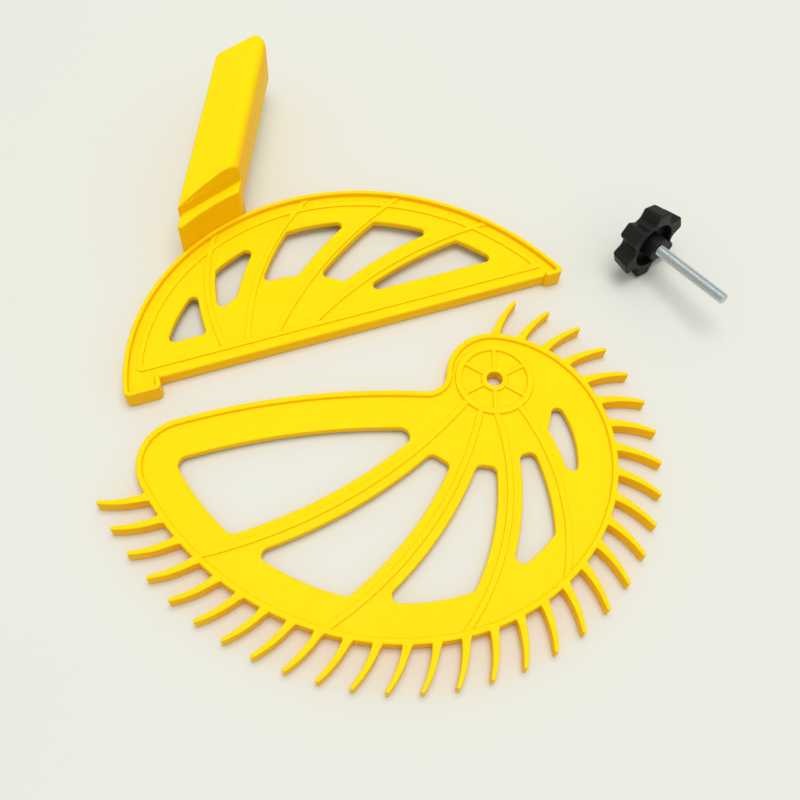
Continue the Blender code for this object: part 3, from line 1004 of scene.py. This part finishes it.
    def build(self) -> Object:
        """Builds the whole moulding about the bore's axis.

        Returns:
            The featherboard piece.
        """
        web = self.layer(self.web)
        middle_wall = circle((self.bore + self.boss) / 2)
        loops = [self.body_loop(self.bead_width / 2), middle_wall, *self.window_loops()]
        board = prism("featherboard_moulding", loops, *web, self.web_edge)
        inner = self.body_loop(self.bead_width)
        bead_loops = [self.body_loop(0.0), inner]
        added = [prism("rim_bead", bead_loops, 0.0, self.thickness, self.bead_edge)]
        feathers = [self.feather_loop(index) for index in range(self.feather_count)]
        top = self.thickness - self.feather_drop
        added.append(prism("feathers", feathers, self.feather_lift, top, self.feather_edge))
        rib_loops = [strip(path, self.rib_width) for path in self.rib_paths]
        added += [prism("rib", [loop], *self.layer(self.rib), self.rib_edge) for loop in rib_loops]
        ring_loops = [circle(self.ring_outer), circle(self.ring_inner)]
        added.append(prism("hub_ring", ring_loops, *self.layer(self.ring), self.ring_edge))
        boss_loops = [circle(self.boss), circle(self.bore)]
        added.append(prism("hub_boss", boss_loops, *self.layer(self.ring), self.ring_edge))
        for index in range(self.spoke_count):
            angle = self.spoke_at + index * 360.0 / self.spoke_count
            start = spot((self.bore + self.boss) / 2, angle)
            end = spot((self.ring_inner + self.ring_outer) / 2, angle)
            loop = strip(line(start, end, self.spoke_points), self.spoke_width)
            added.append(prism("spoke", [loop], *self.layer(self.spoke), self.spoke_edge))
        for level, up in zip(web, (False, True)):
            added.append(foot("bead_foot", inner, level, self.fillet, out=False, up=up))
            added.append(foot("ring_foot", ring_loops[0], level, self.fillet, up=up))
            added.append(foot("well_foot", ring_loops[1], level, self.fillet, out=False, up=up))
            added.append(foot("boss_foot", boss_loops[0], level, self.fillet, up=up))
            added += [foot("rib_foot", loop, level, self.fillet, up=up) for loop in rib_loops]
        combine(board, added)
        return board

    def dress(self, finish: Material) -> Object:
        """Builds the board, lays it in place and hands it to its body.

        Args:
            finish: The board's material.

        Returns:
            The finished piece.
        """
        board = self.build()
        hub, _ = joint_line("featherboard_swing")
        board.data.transform(Matrix.Translation((hub.x * MM, hub.y * MM, 0.0)))
        hand_over(board, finish, "featherboard", Body.BOARD)
        return board


@dataclass
class PushBlock:
    """The half-moon push block, measured from the notch corner on its front edge.

    Each rib has its start along the base, its turn at the rim and its radius. A span has a first
    value, a last value and a number of points.
    """

    from_hub: Point = (-165.9, -18.6)
    yaw: float = 23.9
    plate: float = 8.5
    plate_edge: float = 1.2
    lift: float = 0.2
    bead: float = 11.6
    bead_width: float = 2.4
    bead_edge: float = 0.8
    bead_fillet: float = 0.7
    pole: Point = (70.9, -33.0)
    radius: float = 89.9
    growth: float = 0.176
    rim_zero: float = 180.0
    rim_span: Span = (8.0, 172.0, 200)
    edge_overrun: float = 3.0
    edge_points: int = 40
    toe: float = 10.0
    toe_drop: float = 2.0
    toe_radius: float = 2.5
    heel_drop: float = 7.6
    heel_x: float = -1.0
    heel_bead: float = 2.0
    heel_radius: float = 3.0
    heel_overrun: tuple[float, float] = (20.0, 60.0)
    notch_overrun: float = 10.0
    corner: float = 1.0
    skirt: float = 5.0
    base_skirt: float = 7.0
    pocket_radius: float = 3.0
    web: float = 3.4
    loop_band: float = 6.3
    loop_base: float = 5.5
    loop_width: float = 2.6
    loop_rise: float = 0.9
    loop_root: float = 1.5
    loop_radius: float = 2.5
    loop_edge: float = 0.3
    rib_width: float = 2.7
    rib_rise: float = 1.0
    rib_low: float = 0.8
    rib_edge: float = 0.35
    rib_points: int = 36
    ribs: tuple[tuple[float, float, float], ...] = (
        (34.2, 77.7, 103.0),
        (46.2, 104.0, 140.0),
        (61.0, 126.6, 215.0),
        (79.5, 147.9, 208.0),
    )
    fillet: float = 0.5
    rim_band: float = 19.0
    window_base: float = 18.3
    fan_at: Point = (70.0, -15.0)
    fan_radius: float = 55.3
    fan_span: Span = (0.0, 180.0, 90)
    clear_left: tuple[float, ...] = (5.4, 8.5, 7.2, 6.9)
    clear_right: tuple[float, ...] = (4.2, 2.7, 2.8, 4.0)
    window_fillet: float = 2.6
    handle_axis: float = 65.4
    handle_span: Span = (20.0, 260.0, 60)
    neck_top: float = 30.5
    neck_left: float = -4.4
    neck_right: float = 22.9
    neck_low: float = 0.4
    neck_radii: tuple[float, ...] = (3.0, 3.0, 3.0, 1.5)
    neck_back: float = 5.0
    neck_edge: float = 1.4
    root_radii: tuple[float, float] = (8.0, 2.0)
    root_low: float = 0.8
    root_top: float = 8.0
    root_edge: float = 0.5
    root_run: int = 16
    root_lap: int = 3
    ledge: float = 6.0
    rim_sink: float = 0.2
    grip_left: float = -4.8
    grip_left_top: float = 36.8
    grip_left_radius: float = 1.4
    ridge_at: float = 22.2
    ridge_top: float = 46.2
    ridge_radius: float = 5.6
    grip_right: float = 22.6
    flank_low: float = 26.0
    flank_radius: float = 6.0
    grip_low: float = 14.0
    grip_low_radius: float = 4.0
    grip_end_left: float = 193.0
    grip_end_right: float = 207.4
    grip_end_radii: tuple[float, float] = (4.0, 6.0)
    grip_edge: float = 1.2
    grip_steps: int = 6
    grip_side_points: int = 73
    grip_end_margin: float = 0.001
    rim_path: Path = field(init=False)
    axis: Path = field(init=False)
    across: Path = field(init=False)
    reach: float = field(init=False)
    rib_paths: list[Path] = field(init=False)

    def __post_init__(self) -> None:
        """Makes the rim, the handle's directions and the cross ribs that the rest needs."""
        rim = Spiral(self.pole, self.radius, self.growth, self.rim_zero)
        self.rim_path = rim.points(np.radians(np.linspace(*self.rim_span)))
        angle = math.radians(self.handle_axis)
        self.axis = np.array([math.cos(angle), math.sin(angle)])
        self.across = np.array([math.sin(angle), -math.cos(angle)])
        self.reach = self.radius * self.edge_overrun
        self.rib_paths = []
        for start_x, turn, radius in self.ribs:
            start = (start_x, self.loop_base + self.loop_width / 2)
            end = rim.inside(turn, self.bead_width / 2)
            self.rib_paths.append(right_bend(start, end, radius, self.rib_points))

    def at(self, along: float, over: float) -> Path:
        """A plan point given along the handle's axis and across it."""
        return self.axis * along + self.across * over

    def straight(self, over: float, back: bool = False) -> Path:
        """A long edge beside the handle's axis.

        Args:
            over: Its place across the axis.
            back: Whether it runs toward the plate.

        Returns:
            The edge's points.
        """
        start, end, count = self.handle_span
        ends = [self.at(start, over), self.at(end, over)]
        return line(*(ends[::-1] if back else ends), count)

    def window_loops(self) -> list[Path]:
        """The outlines of the windows between the cross ribs.

        Returns:
            One closed loop for each window, from the left.
        """
        rim_inner = offset(self.rim_path, self.rim_band)
        low = line((self.reach, self.window_base), (-self.reach, self.window_base))
        fan = arc(self.fan_at, self.fan_radius, *self.fan_span)
        left = [offset(path, -clear)[::-1] for path, clear in zip(self.rib_paths, self.clear_left)]
        right = [offset(path, clear) for path, clear in zip(self.rib_paths, self.clear_right)]
        loops = [chain([rim_inner, left[0], low], (self.window_fillet,) * 3)]
        for index in range(len(left) - 1):
            edges = [right[index], rim_inner, left[index + 1], fan]
            loops.append(chain(edges, (self.window_fillet,) * 4))
        loops.append(chain([right[-1], rim_inner, low], (self.window_fillet,) * 3))
        return loops

    def rim_and_base(self, inset: float, base: float, left_radius: float) -> Path:
        """A loop inside the rim, closed by a straight edge above the base.

        Args:
            inset: How far it lies inside the rim.
            base: How far its straight edge lies above the base.
            left_radius: The radius of its left corner.

        Returns:
            The loop.
        """
        low = line((self.reach, base), (self.heel_x - self.radius, base), self.edge_points)
        return chain([offset(self.rim_path, inset), low], (self.corner, left_radius))

    def plate_and_bead(self) -> tuple[Path, Path, Path]:
        """The outlines of the plate and of the bead.

        Returns:
            The plate's loop, the bead's loop and the bead's inner wall.
        """
        count = self.edge_points
        base = line((self.reach, 0.0), (self.heel_x - self.radius, 0.0), count)
        toe_x = place_on(self.rim_path, crossing(self.rim_path, base)[0])[0] - self.toe
        toe = line((self.reach, -self.toe_drop), (toe_x - self.toe, -self.toe_drop), count)
        inner_toe = self.bead_width - self.toe_drop
        toe_step = line((toe_x, -self.toe_drop * 2 - self.toe_radius), (toe_x, inner_toe))
        notch_end = -self.heel_drop - self.notch_overrun
        notch = line((self.heel_x, inner_toe), (self.heel_x, notch_end))
        before, after = self.heel_overrun
        heel = line((self.heel_x + before, -self.heel_drop), (self.heel_x - after, -self.heel_drop))
        middle = [
            offset(self.rim_path, self.bead_width / 2),
            base,
            offset(notch, self.bead_width / 2),
            offset(heel, self.heel_bead / 2),
        ]
        plate = chain(middle, (self.corner, -self.corner, self.corner, self.corner))
        outer_radii = (self.heel_radius, self.heel_radius, self.toe_radius, self.corner)
        outer = chain([notch, heel, self.rim_path, toe, toe_step], outer_radii, closed=False)
        toe_inner = line((self.reach, inner_toe), (toe_x, inner_toe), count)
        inner_edges = [
            offset(notch, self.bead_width),
            offset(heel, self.heel_bead),
            offset(self.rim_path, self.bead_width),
            toe_inner,
        ]
        inner = chain(inner_edges, (self.corner,) * 3, closed=False)
        return plate, np.vstack([outer, inner[::-1]]), inner

    def build_grip(self) -> Object:
        """Builds the grip as a section carried along the handle's axis, with rounded ends.

        Returns:
            The grip.
        """
        section = (
            (self.grip_left, self.grip_low),
            (self.grip_left, self.grip_left_top),
            (self.ridge_at, self.ridge_top),
            (self.grip_right, self.flank_low),
            (self.grip_right, self.grip_low),
        )
        sides = []
        for index, corner in enumerate(section):
            after = section[(index + 1) % len(section)]
            sides.append(line(*through(corner, after), self.grip_side_points))
        radii = (
            self.grip_left_radius,
            self.ridge_radius,
            self.flank_radius,
            self.grip_low_radius,
            self.grip_low_radius,
        )
        loop = clockwise(chain(sides, radii))
        normals = outward(loop)
        end_left = self.at(self.grip_end_left, self.grip_left)
        end_right = self.at(self.grip_end_right, self.grip_right)
        end_edges = [
            self.straight(self.grip_left),
            through(end_left, end_right),
            self.straight(self.grip_right, back=True),
        ]
        end_path = chain(end_edges, self.grip_end_radii, closed=False)
        end_over = end_path @ self.across
        margin = self.grip_end_margin
        inside = (end_over > self.grip_left + margin) & (end_over < self.grip_right - margin)
        end_over = end_over[inside]
        end_along = (end_path @ self.axis)[inside]
        front_path = offset(self.rim_path, -self.ledge)
        front_over = front_path @ self.across
        front_along = front_path @ self.axis
        order = np.argsort(front_over)
        rings = []
        flats = []
        angles = np.linspace(0.0, math.pi / 2, self.grip_steps)
        steps = [(angle, True) for angle in angles] + [(angle, False) for angle in angles[::-1]]
        for angle, at_front in steps:
            ring = loop - normals * self.grip_edge * (1.0 - math.sin(angle))
            set_back = self.grip_edge * (1.0 - math.cos(angle))
            if at_front:
                along = np.interp(ring[:, 0], front_over[order], front_along[order]) + set_back
            else:
                along = np.interp(ring[:, 0], end_over, end_along) - set_back
            plan = self.axis * along[:, None] + self.across * ring[:, :1]
            rings.append(np.column_stack([plan, ring[:, 1]]))
            flats.append(ring)
        return lofted("grip", rings, [flats[0], flats[-1]])

    def build_handle(self) -> list[Object]:
        """Builds the neck on the rim, its flared root at plate level and the grip.

        Returns:
            The three solids.
        """
        left = self.straight(self.neck_left)
        right = self.straight(self.neck_right, back=True)
        back = offset(self.rim_path, -self.ledge - self.neck_back)
        front = offset(self.rim_path, self.rim_sink)[::-1]
        neck_loop = chain([left, back, right, front], self.neck_radii)
        neck = prism("neck", [neck_loop], self.neck_low, self.neck_top, self.neck_edge)
        first = int(crossing(self.rim_path, left)[0])
        last = int(crossing(self.rim_path, right)[0])
        before = self.rim_path[first - self.root_run : first + self.root_lap]
        after = self.rim_path[last - 1 : last + self.root_run]
        edges = [before, left, offset(self.rim_path, -self.ledge), right, after]
        root_radii = (-self.root_radii[0], self.corner, self.corner, -self.root_radii[1])
        root = chain(edges, root_radii, closed=False)
        sunk = offset(self.rim_path, self.bead_width / 2)
        under = sunk[first - self.root_run : last + self.root_run]
        root_loop = np.vstack([root, under[::-1]])
        flare = prism("root", [root_loop], self.root_low, self.root_top, self.root_edge)
        return [neck, flare, self.build_grip()]

    def build(self) -> Object:
        """Builds the whole moulding about the notch corner.

        Returns:
            The push block piece.
        """
        plate, bead_loop, bead_wall = self.plate_and_bead()
        plate_loops = [plate, *self.window_loops()]
        block = prism("push_block_moulding", plate_loops, self.lift, self.plate, self.plate_edge)
        pocket = self.rim_and_base(self.skirt, self.base_skirt, self.pocket_radius)
        cutter = prism("pocket", [pocket], -self.plate, self.plate - self.web, self.fillet)
        combine(block, [cutter], Join.CUT)
        added = [
            prism("bead", [bead_loop], 0.0, self.bead, self.bead_edge),
            foot("bead_foot", bead_wall, self.plate, self.bead_fillet, out=False, closed=False),
        ]
        band, base = self.loop_band, self.loop_base
        outer = self.rim_and_base(band, base, self.loop_radius)
        inner = self.rim_and_base(band + self.loop_width, base + self.loop_width, self.corner)
        low = self.plate - self.loop_root
        top = self.plate + self.loop_rise
        added.append(prism("raised_loop", [outer, inner], low, top, self.loop_edge))
        rib_top = self.plate + self.rib_rise
        for path in self.rib_paths:
            loop = strip(path, self.rib_width)
            added.append(prism("cross_rib", [loop], self.rib_low, rib_top, self.rib_edge))
        added += self.build_handle()
        combine(block, added)
        return block

    def dress(self, finish: Material) -> Object:
        """Builds the block, lays it in place and hands it to its body.

        Args:
            finish: The block's material.

        Returns:
            The finished piece.
        """
        block = self.build()
        hub, _ = joint_line("featherboard_swing")
        x, y = hub.x + self.from_hub[0], hub.y + self.from_hub[1]
        place = Matrix.Translation((x * MM, y * MM, 0.0))
        block.data.transform(place @ Matrix.Rotation(math.radians(self.yaw), 4, "Z"))
        hand_over(block, finish, "push_block", Body.BLOCK)
        return block


@dataclass
class ClampScrew:
    """The star knob and its bolt, measured from the screw axis at the knob's underside."""

    lobes: int = 6
    lobe_turn: float = 15.0
    knob_radius: float = 21.0
    top_scale: float = 0.913
    valley: float = 15.2
    lobe_half: float = 12.5
    valley_half: float = 6.5
    lobe_radius: float = 2.0
    valley_fillet: float = 3.0
    height: float = 12.0
    top_edge: float = 2.0
    low_edge: float = 0.9
    edge_steps: int = 6
    edge_bulge: float = 0.3
    flat_points: int = 8
    cup: float = 12.8
    cup_depth: float = 4.8
    cup_edge: float = 0.6
    stem: float = 6.5
    stem_rise: float = 4.0
    stem_edge: float = 0.8
    stem_lap: float = 0.01
    bolt: float = 3.0
    bolt_length: float = 49.0
    pitch: float = 1.0
    thread_depth: float = 0.55
    thread_slope: float = 2.6
    thread_crest: float = 0.15
    chamfer: float = 0.7
    head_flats: float = 10.0
    head: float = 4.0
    head_sink: float = 2.0
    head_chamfer: float = 0.5
    head_edge: float = 0.15
    gap: float = 0.3
    thread_steps: int = 32
    rows_per_turn: int = 8

    def star_loop(self) -> Path:
        """The lobed outline of the knob, with one lobe turned a little up from the X axis.

        Returns:
            The closed loop.
        """
        corners = []
        half_pitch = 180.0 / self.lobes
        for index in range(self.lobes):
            middle = self.lobe_turn - index * 2.0 * half_pitch
            corners += [
                spot(self.knob_radius, middle + self.lobe_half),
                spot(self.knob_radius, middle - self.lobe_half),
                spot(self.valley, middle - half_pitch + self.valley_half),
                spot(self.valley, middle - half_pitch - self.valley_half),
            ]
        edges = []
        for index, corner in enumerate(corners):
            edges.append(line(corner, corners[(index + 1) % len(corners)], self.flat_points))
        radii = (self.lobe_radius, -self.valley_fillet, -self.valley_fillet, self.lobe_radius)
        return chain(edges, radii * self.lobes)

    def build_cup(self) -> Object:
        """Builds the cutter for the hollow in the knob's underside.

        Returns:
            The cutter.
        """
        rim = self.cup + self.cup_edge
        bulge = self.cup_edge * self.edge_bulge
        return turned("cup", [
            (0.0, self.height),
            (rim, self.height),
            (rim, 0.0),
            (self.cup + bulge, -bulge),
            (self.cup, -self.cup_edge),
            (self.cup, -self.cup_depth),
            (0.0, -self.cup_depth),
        ])

    def build_stem(self) -> Object:
        """Builds the stem that stands in the hollow.

        Returns:
            The stem.
        """
        edge = self.stem_edge
        bulge = edge * self.edge_bulge
        floor = -self.cup_depth
        return turned("stem", [
            (0.0, self.stem_rise),
            (self.stem - edge, self.stem_rise),
            (self.stem - bulge, self.stem_rise - bulge),
            (self.stem, self.stem_rise - edge),
            (self.stem, floor + edge),
            (self.stem + bulge, floor + bulge),
            (self.stem + edge, floor - self.stem_lap),
            (self.stem + edge, floor - self.gap),
            (0.0, floor - self.gap),
        ])

    def build_knob(self) -> Object:
        """Builds the knob: tapered lobes, cupped underside, stem, bore and hexagon pocket.

        Returns:
            The knob.
        """
        loop = clockwise(self.star_loop())
        normals = outward(loop)
        levels = []
        for angle in np.linspace(0.0, math.pi / 2, self.edge_steps):
            inset = self.top_edge * (1.0 - math.sin(angle))
            levels.append((inset, -self.height + self.top_edge * (1.0 - math.cos(angle))))
        for angle in np.linspace(math.pi / 2, 0.0, self.edge_steps):
            inset = self.low_edge * (1.0 - math.sin(angle))
            levels.append((inset, -self.low_edge * (1.0 - math.cos(angle))))
        rings = []
        flats = []
        for inset, level in levels:
            scale = 1.0 + (self.top_scale - 1.0) * -level / self.height
            ring = (loop - normals * inset) * scale
            rings.append(np.column_stack([ring, np.full(len(ring), level)]))
            flats.append(ring)
        knob = lofted("star_knob_moulding", rings, [flats[0], flats[-1]])
        combine(knob, [self.build_cup()], Join.CUT)
        combine(knob, [self.build_stem()])
        bore = turned("bore", [
            (0.0, self.height),
            (self.bolt + self.gap, self.height),
            (self.bolt + self.gap, -self.height * 2),
            (0.0, -self.height * 2),
        ])
        seat = -self.height + self.head_sink + self.head + self.gap
        hexagon = circle((self.head_flats + 2 * self.gap) / math.sqrt(3.0), HEXAGON)
        pocket = prism("pocket", [hexagon], -self.height * 2, seat, self.gap / 2)
        combine(knob, [bore, pocket], Join.CUT)
        return knob

    def build_bolt(self) -> Object:
        """Builds the bolt: a helical thread down to a chamfered tip, and a chamfered hexagon head.

        Returns:
            The bolt.
        """
        head_top = -self.height + self.head_sink
        start = head_top + self.head / 2
        rows = int((self.bolt_length - start) / self.pitch * self.rows_per_turn)
        heights = np.linspace(start, self.bolt_length, rows + 1)
        turns = np.arange(self.thread_steps) / self.thread_steps
        angles = -turns * 2.0 * math.pi
        around = np.column_stack([np.cos(angles), np.sin(angles)])
        rings = []
        for height in heights:
            phase = (height / self.pitch + turns) % 1.0
            flank = np.abs(phase - 0.5) * self.thread_slope - self.thread_crest
            radius = self.bolt - self.thread_depth * np.clip(flank, 0.0, 1.0)
            radius = np.minimum(radius, self.bolt - self.chamfer + (self.bolt_length - height))
            ring = radius[:, None] * around
            rings.append(np.column_stack([ring, np.full(len(ring), height)]))
        shank = lofted("clamp_bolt_steel", rings, [rings[0][:, :2], rings[-1][:, :2]])
        corner = self.head_flats / math.sqrt(3.0)
        hexagon = circle(corner, HEXAGON)
        head = prism("head", [hexagon], head_top, head_top + self.head, self.head_edge)
        cone_edge = self.head_flats / 2
        cone_rise = (corner * 2 - cone_edge) * self.head_chamfer
        cone = turned("head_cone", [
            (0.0, head_top + self.head * 2),
            (corner * 2, head_top + self.head * 2),
            (corner * 2, head_top + cone_rise),
            (cone_edge, head_top),
            (0.0, head_top),
        ])
        combine(head, [cone], Join.MEET)
        combine(shank, [head])
        return shank

    def dress(self, knob_finish: Material, bolt_finish: Material) -> list[Object]:
        """Builds the knob and bolt, lays them on the table and hands them to their body.

        Args:
            knob_finish: The knob's material.
            bolt_finish: The bolt's material.

        Returns:
            The two pieces.
        """
        origin, axis = joint_line("clamp_screw_turn")
        level = Vector((-axis.y, axis.x, 0.0)).normalized()
        turn = Matrix((level, axis.cross(level), axis)).transposed().to_4x4()
        place = Matrix.Translation(origin * MM) @ turn
        knob = self.build_knob()
        knob.data.transform(place)
        hand_over(knob, knob_finish, "star_knob", Body.SCREW)
        bolt = self.build_bolt()
        bolt.data.transform(place)
        hand_over(bolt, bolt_finish, "clamp_bolt", Body.SCREW)
        return [knob, bolt]


@dataclass
class Studio:
    """The table, the soft light and the camera."""

    look_from_hub: Point = (-46.7, -18.0)
    look_height: float = 8.0
    distance: float = 515.0
    elevation: float = 61.86
    roll: float = 5.69
    lens: float = 46.55
    sensor: float = 36.0
    nearest: float = 10.0
    table_half: float = 3000.0
    lamp_at: tuple[float, float, float] = (60.0, 200.0, 2150.0)
    lamp_size: float = 1400.0
    lamp_power: float = 22.5
    sky: Colour = (1.0, 1.0, 1.0)
    sky_strength: float = 0.67

    def build(self, finish: Material) -> None:
        """Lays the table and sets up the light and the camera.

        Args:
            finish: The table's material.
        """
        half = self.table_half * MM
        mesh = bpy.data.meshes.new("table_top")
        corners = [(-half, -half, 0.0), (half, -half, 0.0), (half, half, 0.0), (-half, half, 0.0)]
        mesh.from_pydata(corners, [], [(0, 1, 2, 3)])
        table = bpy.data.objects.new("table_top", mesh)
        bpy.context.scene.collection.objects.link(table)
        mesh.materials.append(finish)
        self.light()
        self.aim_camera()

    def light(self) -> None:
        """Adds one large soft lamp above the set and an even sky."""
        lamp = bpy.data.lights.new("softbox", "AREA")
        lamp.shape = "DISK"
        lamp.size = self.lamp_size * MM
        lamp.energy = self.lamp_power
        holder = bpy.data.objects.new("softbox", lamp)
        holder.location = Vector(self.lamp_at) * MM
        holder.rotation_euler = holder.location.to_track_quat("Z", "Y").to_euler()
        bpy.context.scene.collection.objects.link(holder)
        world = bpy.data.worlds.new("sky")
        world.use_nodes = True
        sky = world.node_tree.nodes["Background"]
        sky.inputs["Color"].default_value = (*self.sky, 1.0)
        sky.inputs["Strength"].default_value = self.sky_strength
        bpy.context.scene.world = world

    def aim_camera(self) -> None:
        """Puts the camera at the photograph's viewpoint."""
        hub, _ = joint_line("featherboard_swing")
        x, y = hub.x + self.look_from_hub[0], hub.y + self.look_from_hub[1]
        look = Vector((x, y, self.look_height))
        rise = math.radians(self.elevation)
        tilt = math.radians(self.roll)
        back = Vector((0.0, -math.cos(rise), math.sin(rise)))
        side = Vector((1.0, 0.0, 0.0))
        up = back.cross(side)
        right = side * math.cos(tilt) + up * math.sin(tilt)
        above = back.cross(right)
        data = bpy.data.cameras.new("camera")
        data.sensor_width = self.sensor
        data.lens = self.lens
        data.clip_start = self.nearest * MM
        camera = bpy.data.objects.new("camera", data)
        turn = Matrix((right, above, back)).transposed().to_4x4()
        camera.matrix_world = Matrix.Translation((look + back * self.distance) * MM) @ turn
        bpy.context.scene.collection.objects.link(camera)
        bpy.context.scene.camera = camera


YELLOW = MouldedFinish(
    name="yellow_moulding",
    colour=(1.0, 0.755, 0.0),
    flow_colour=(1.0, 0.705, 0.0),
    # Painted shading: steep walls take a deeper orange, standing in for their shade and the bounce
    # light inside the plastic.
    painted_wall_shading=(1.0, 0.55, 0.0),
    gloss=(0.42, 0.52),
    grain_size=1800.0,
    flow_size=14.0,
    relief=0.06,
    shine=0.07,
    glow=0.4,
    glow_reach=(1.0, 0.35, 0.03),
    glow_scale=2.0,
)
BLACK = MouldedFinish(
    name="black_moulding",
    colour=(0.006, 0.006, 0.006),
    flow_colour=(0.01, 0.01, 0.01),
    # Painted shading: steep walls a touch lighter.
    painted_wall_shading=(0.007, 0.007, 0.007),
    gloss=(0.42, 0.54),
    grain_size=1400.0,
    flow_size=14.0,
    relief=0.1,
    shine=0.2,
    glow=0.0,
    glow_reach=(1.0, 1.0, 1.0),
    glow_scale=1.0,
)
ZINC = PlatedFinish(
    name="zinc_plate",
    colour=(0.66, 0.71, 0.72),
    flow_colour=(0.52, 0.57, 0.58),
    # Painted shading: steep walls darker.
    painted_wall_shading=(0.6, 0.65, 0.66),
    gloss=(0.34, 0.5),
    grain_size=2500.0,
    flow_size=160.0,
    relief=0.02,
    shine=0.5,
)
TABLE = Finish(
    name="pale_table",
    colour=(0.77, 0.775, 0.70),
    flow_colour=(0.755, 0.76, 0.685),
    painted_wall_shading=(0.77, 0.775, 0.70),
    gloss=(0.5, 0.62),
    grain_size=2500.0,
    flow_size=5.0,
    relief=0.01,
    shine=0.2,
)


def main() -> None:
    """Builds the set piece by piece and sets the scene round it."""
    logging.basicConfig(level=logging.INFO, format="%(name)s: %(message)s")
    bpy.context.scene.view_settings.view_transform = "Standard"
    surface = moulded_surface_and_wall_shading()
    yellow = YELLOW.make(surface)
    pieces = [Featherboard().dress(yellow), PushBlock().dress(yellow)]
    pieces += ClampScrew().dress(BLACK.make(surface), ZINC.make(surface))
    for piece in pieces:
        LOG.info("%s: %d faces", piece.name, len(piece.data.polygons))
    Studio().build(TABLE.make(surface))


if __name__ == "__main__":
    main()
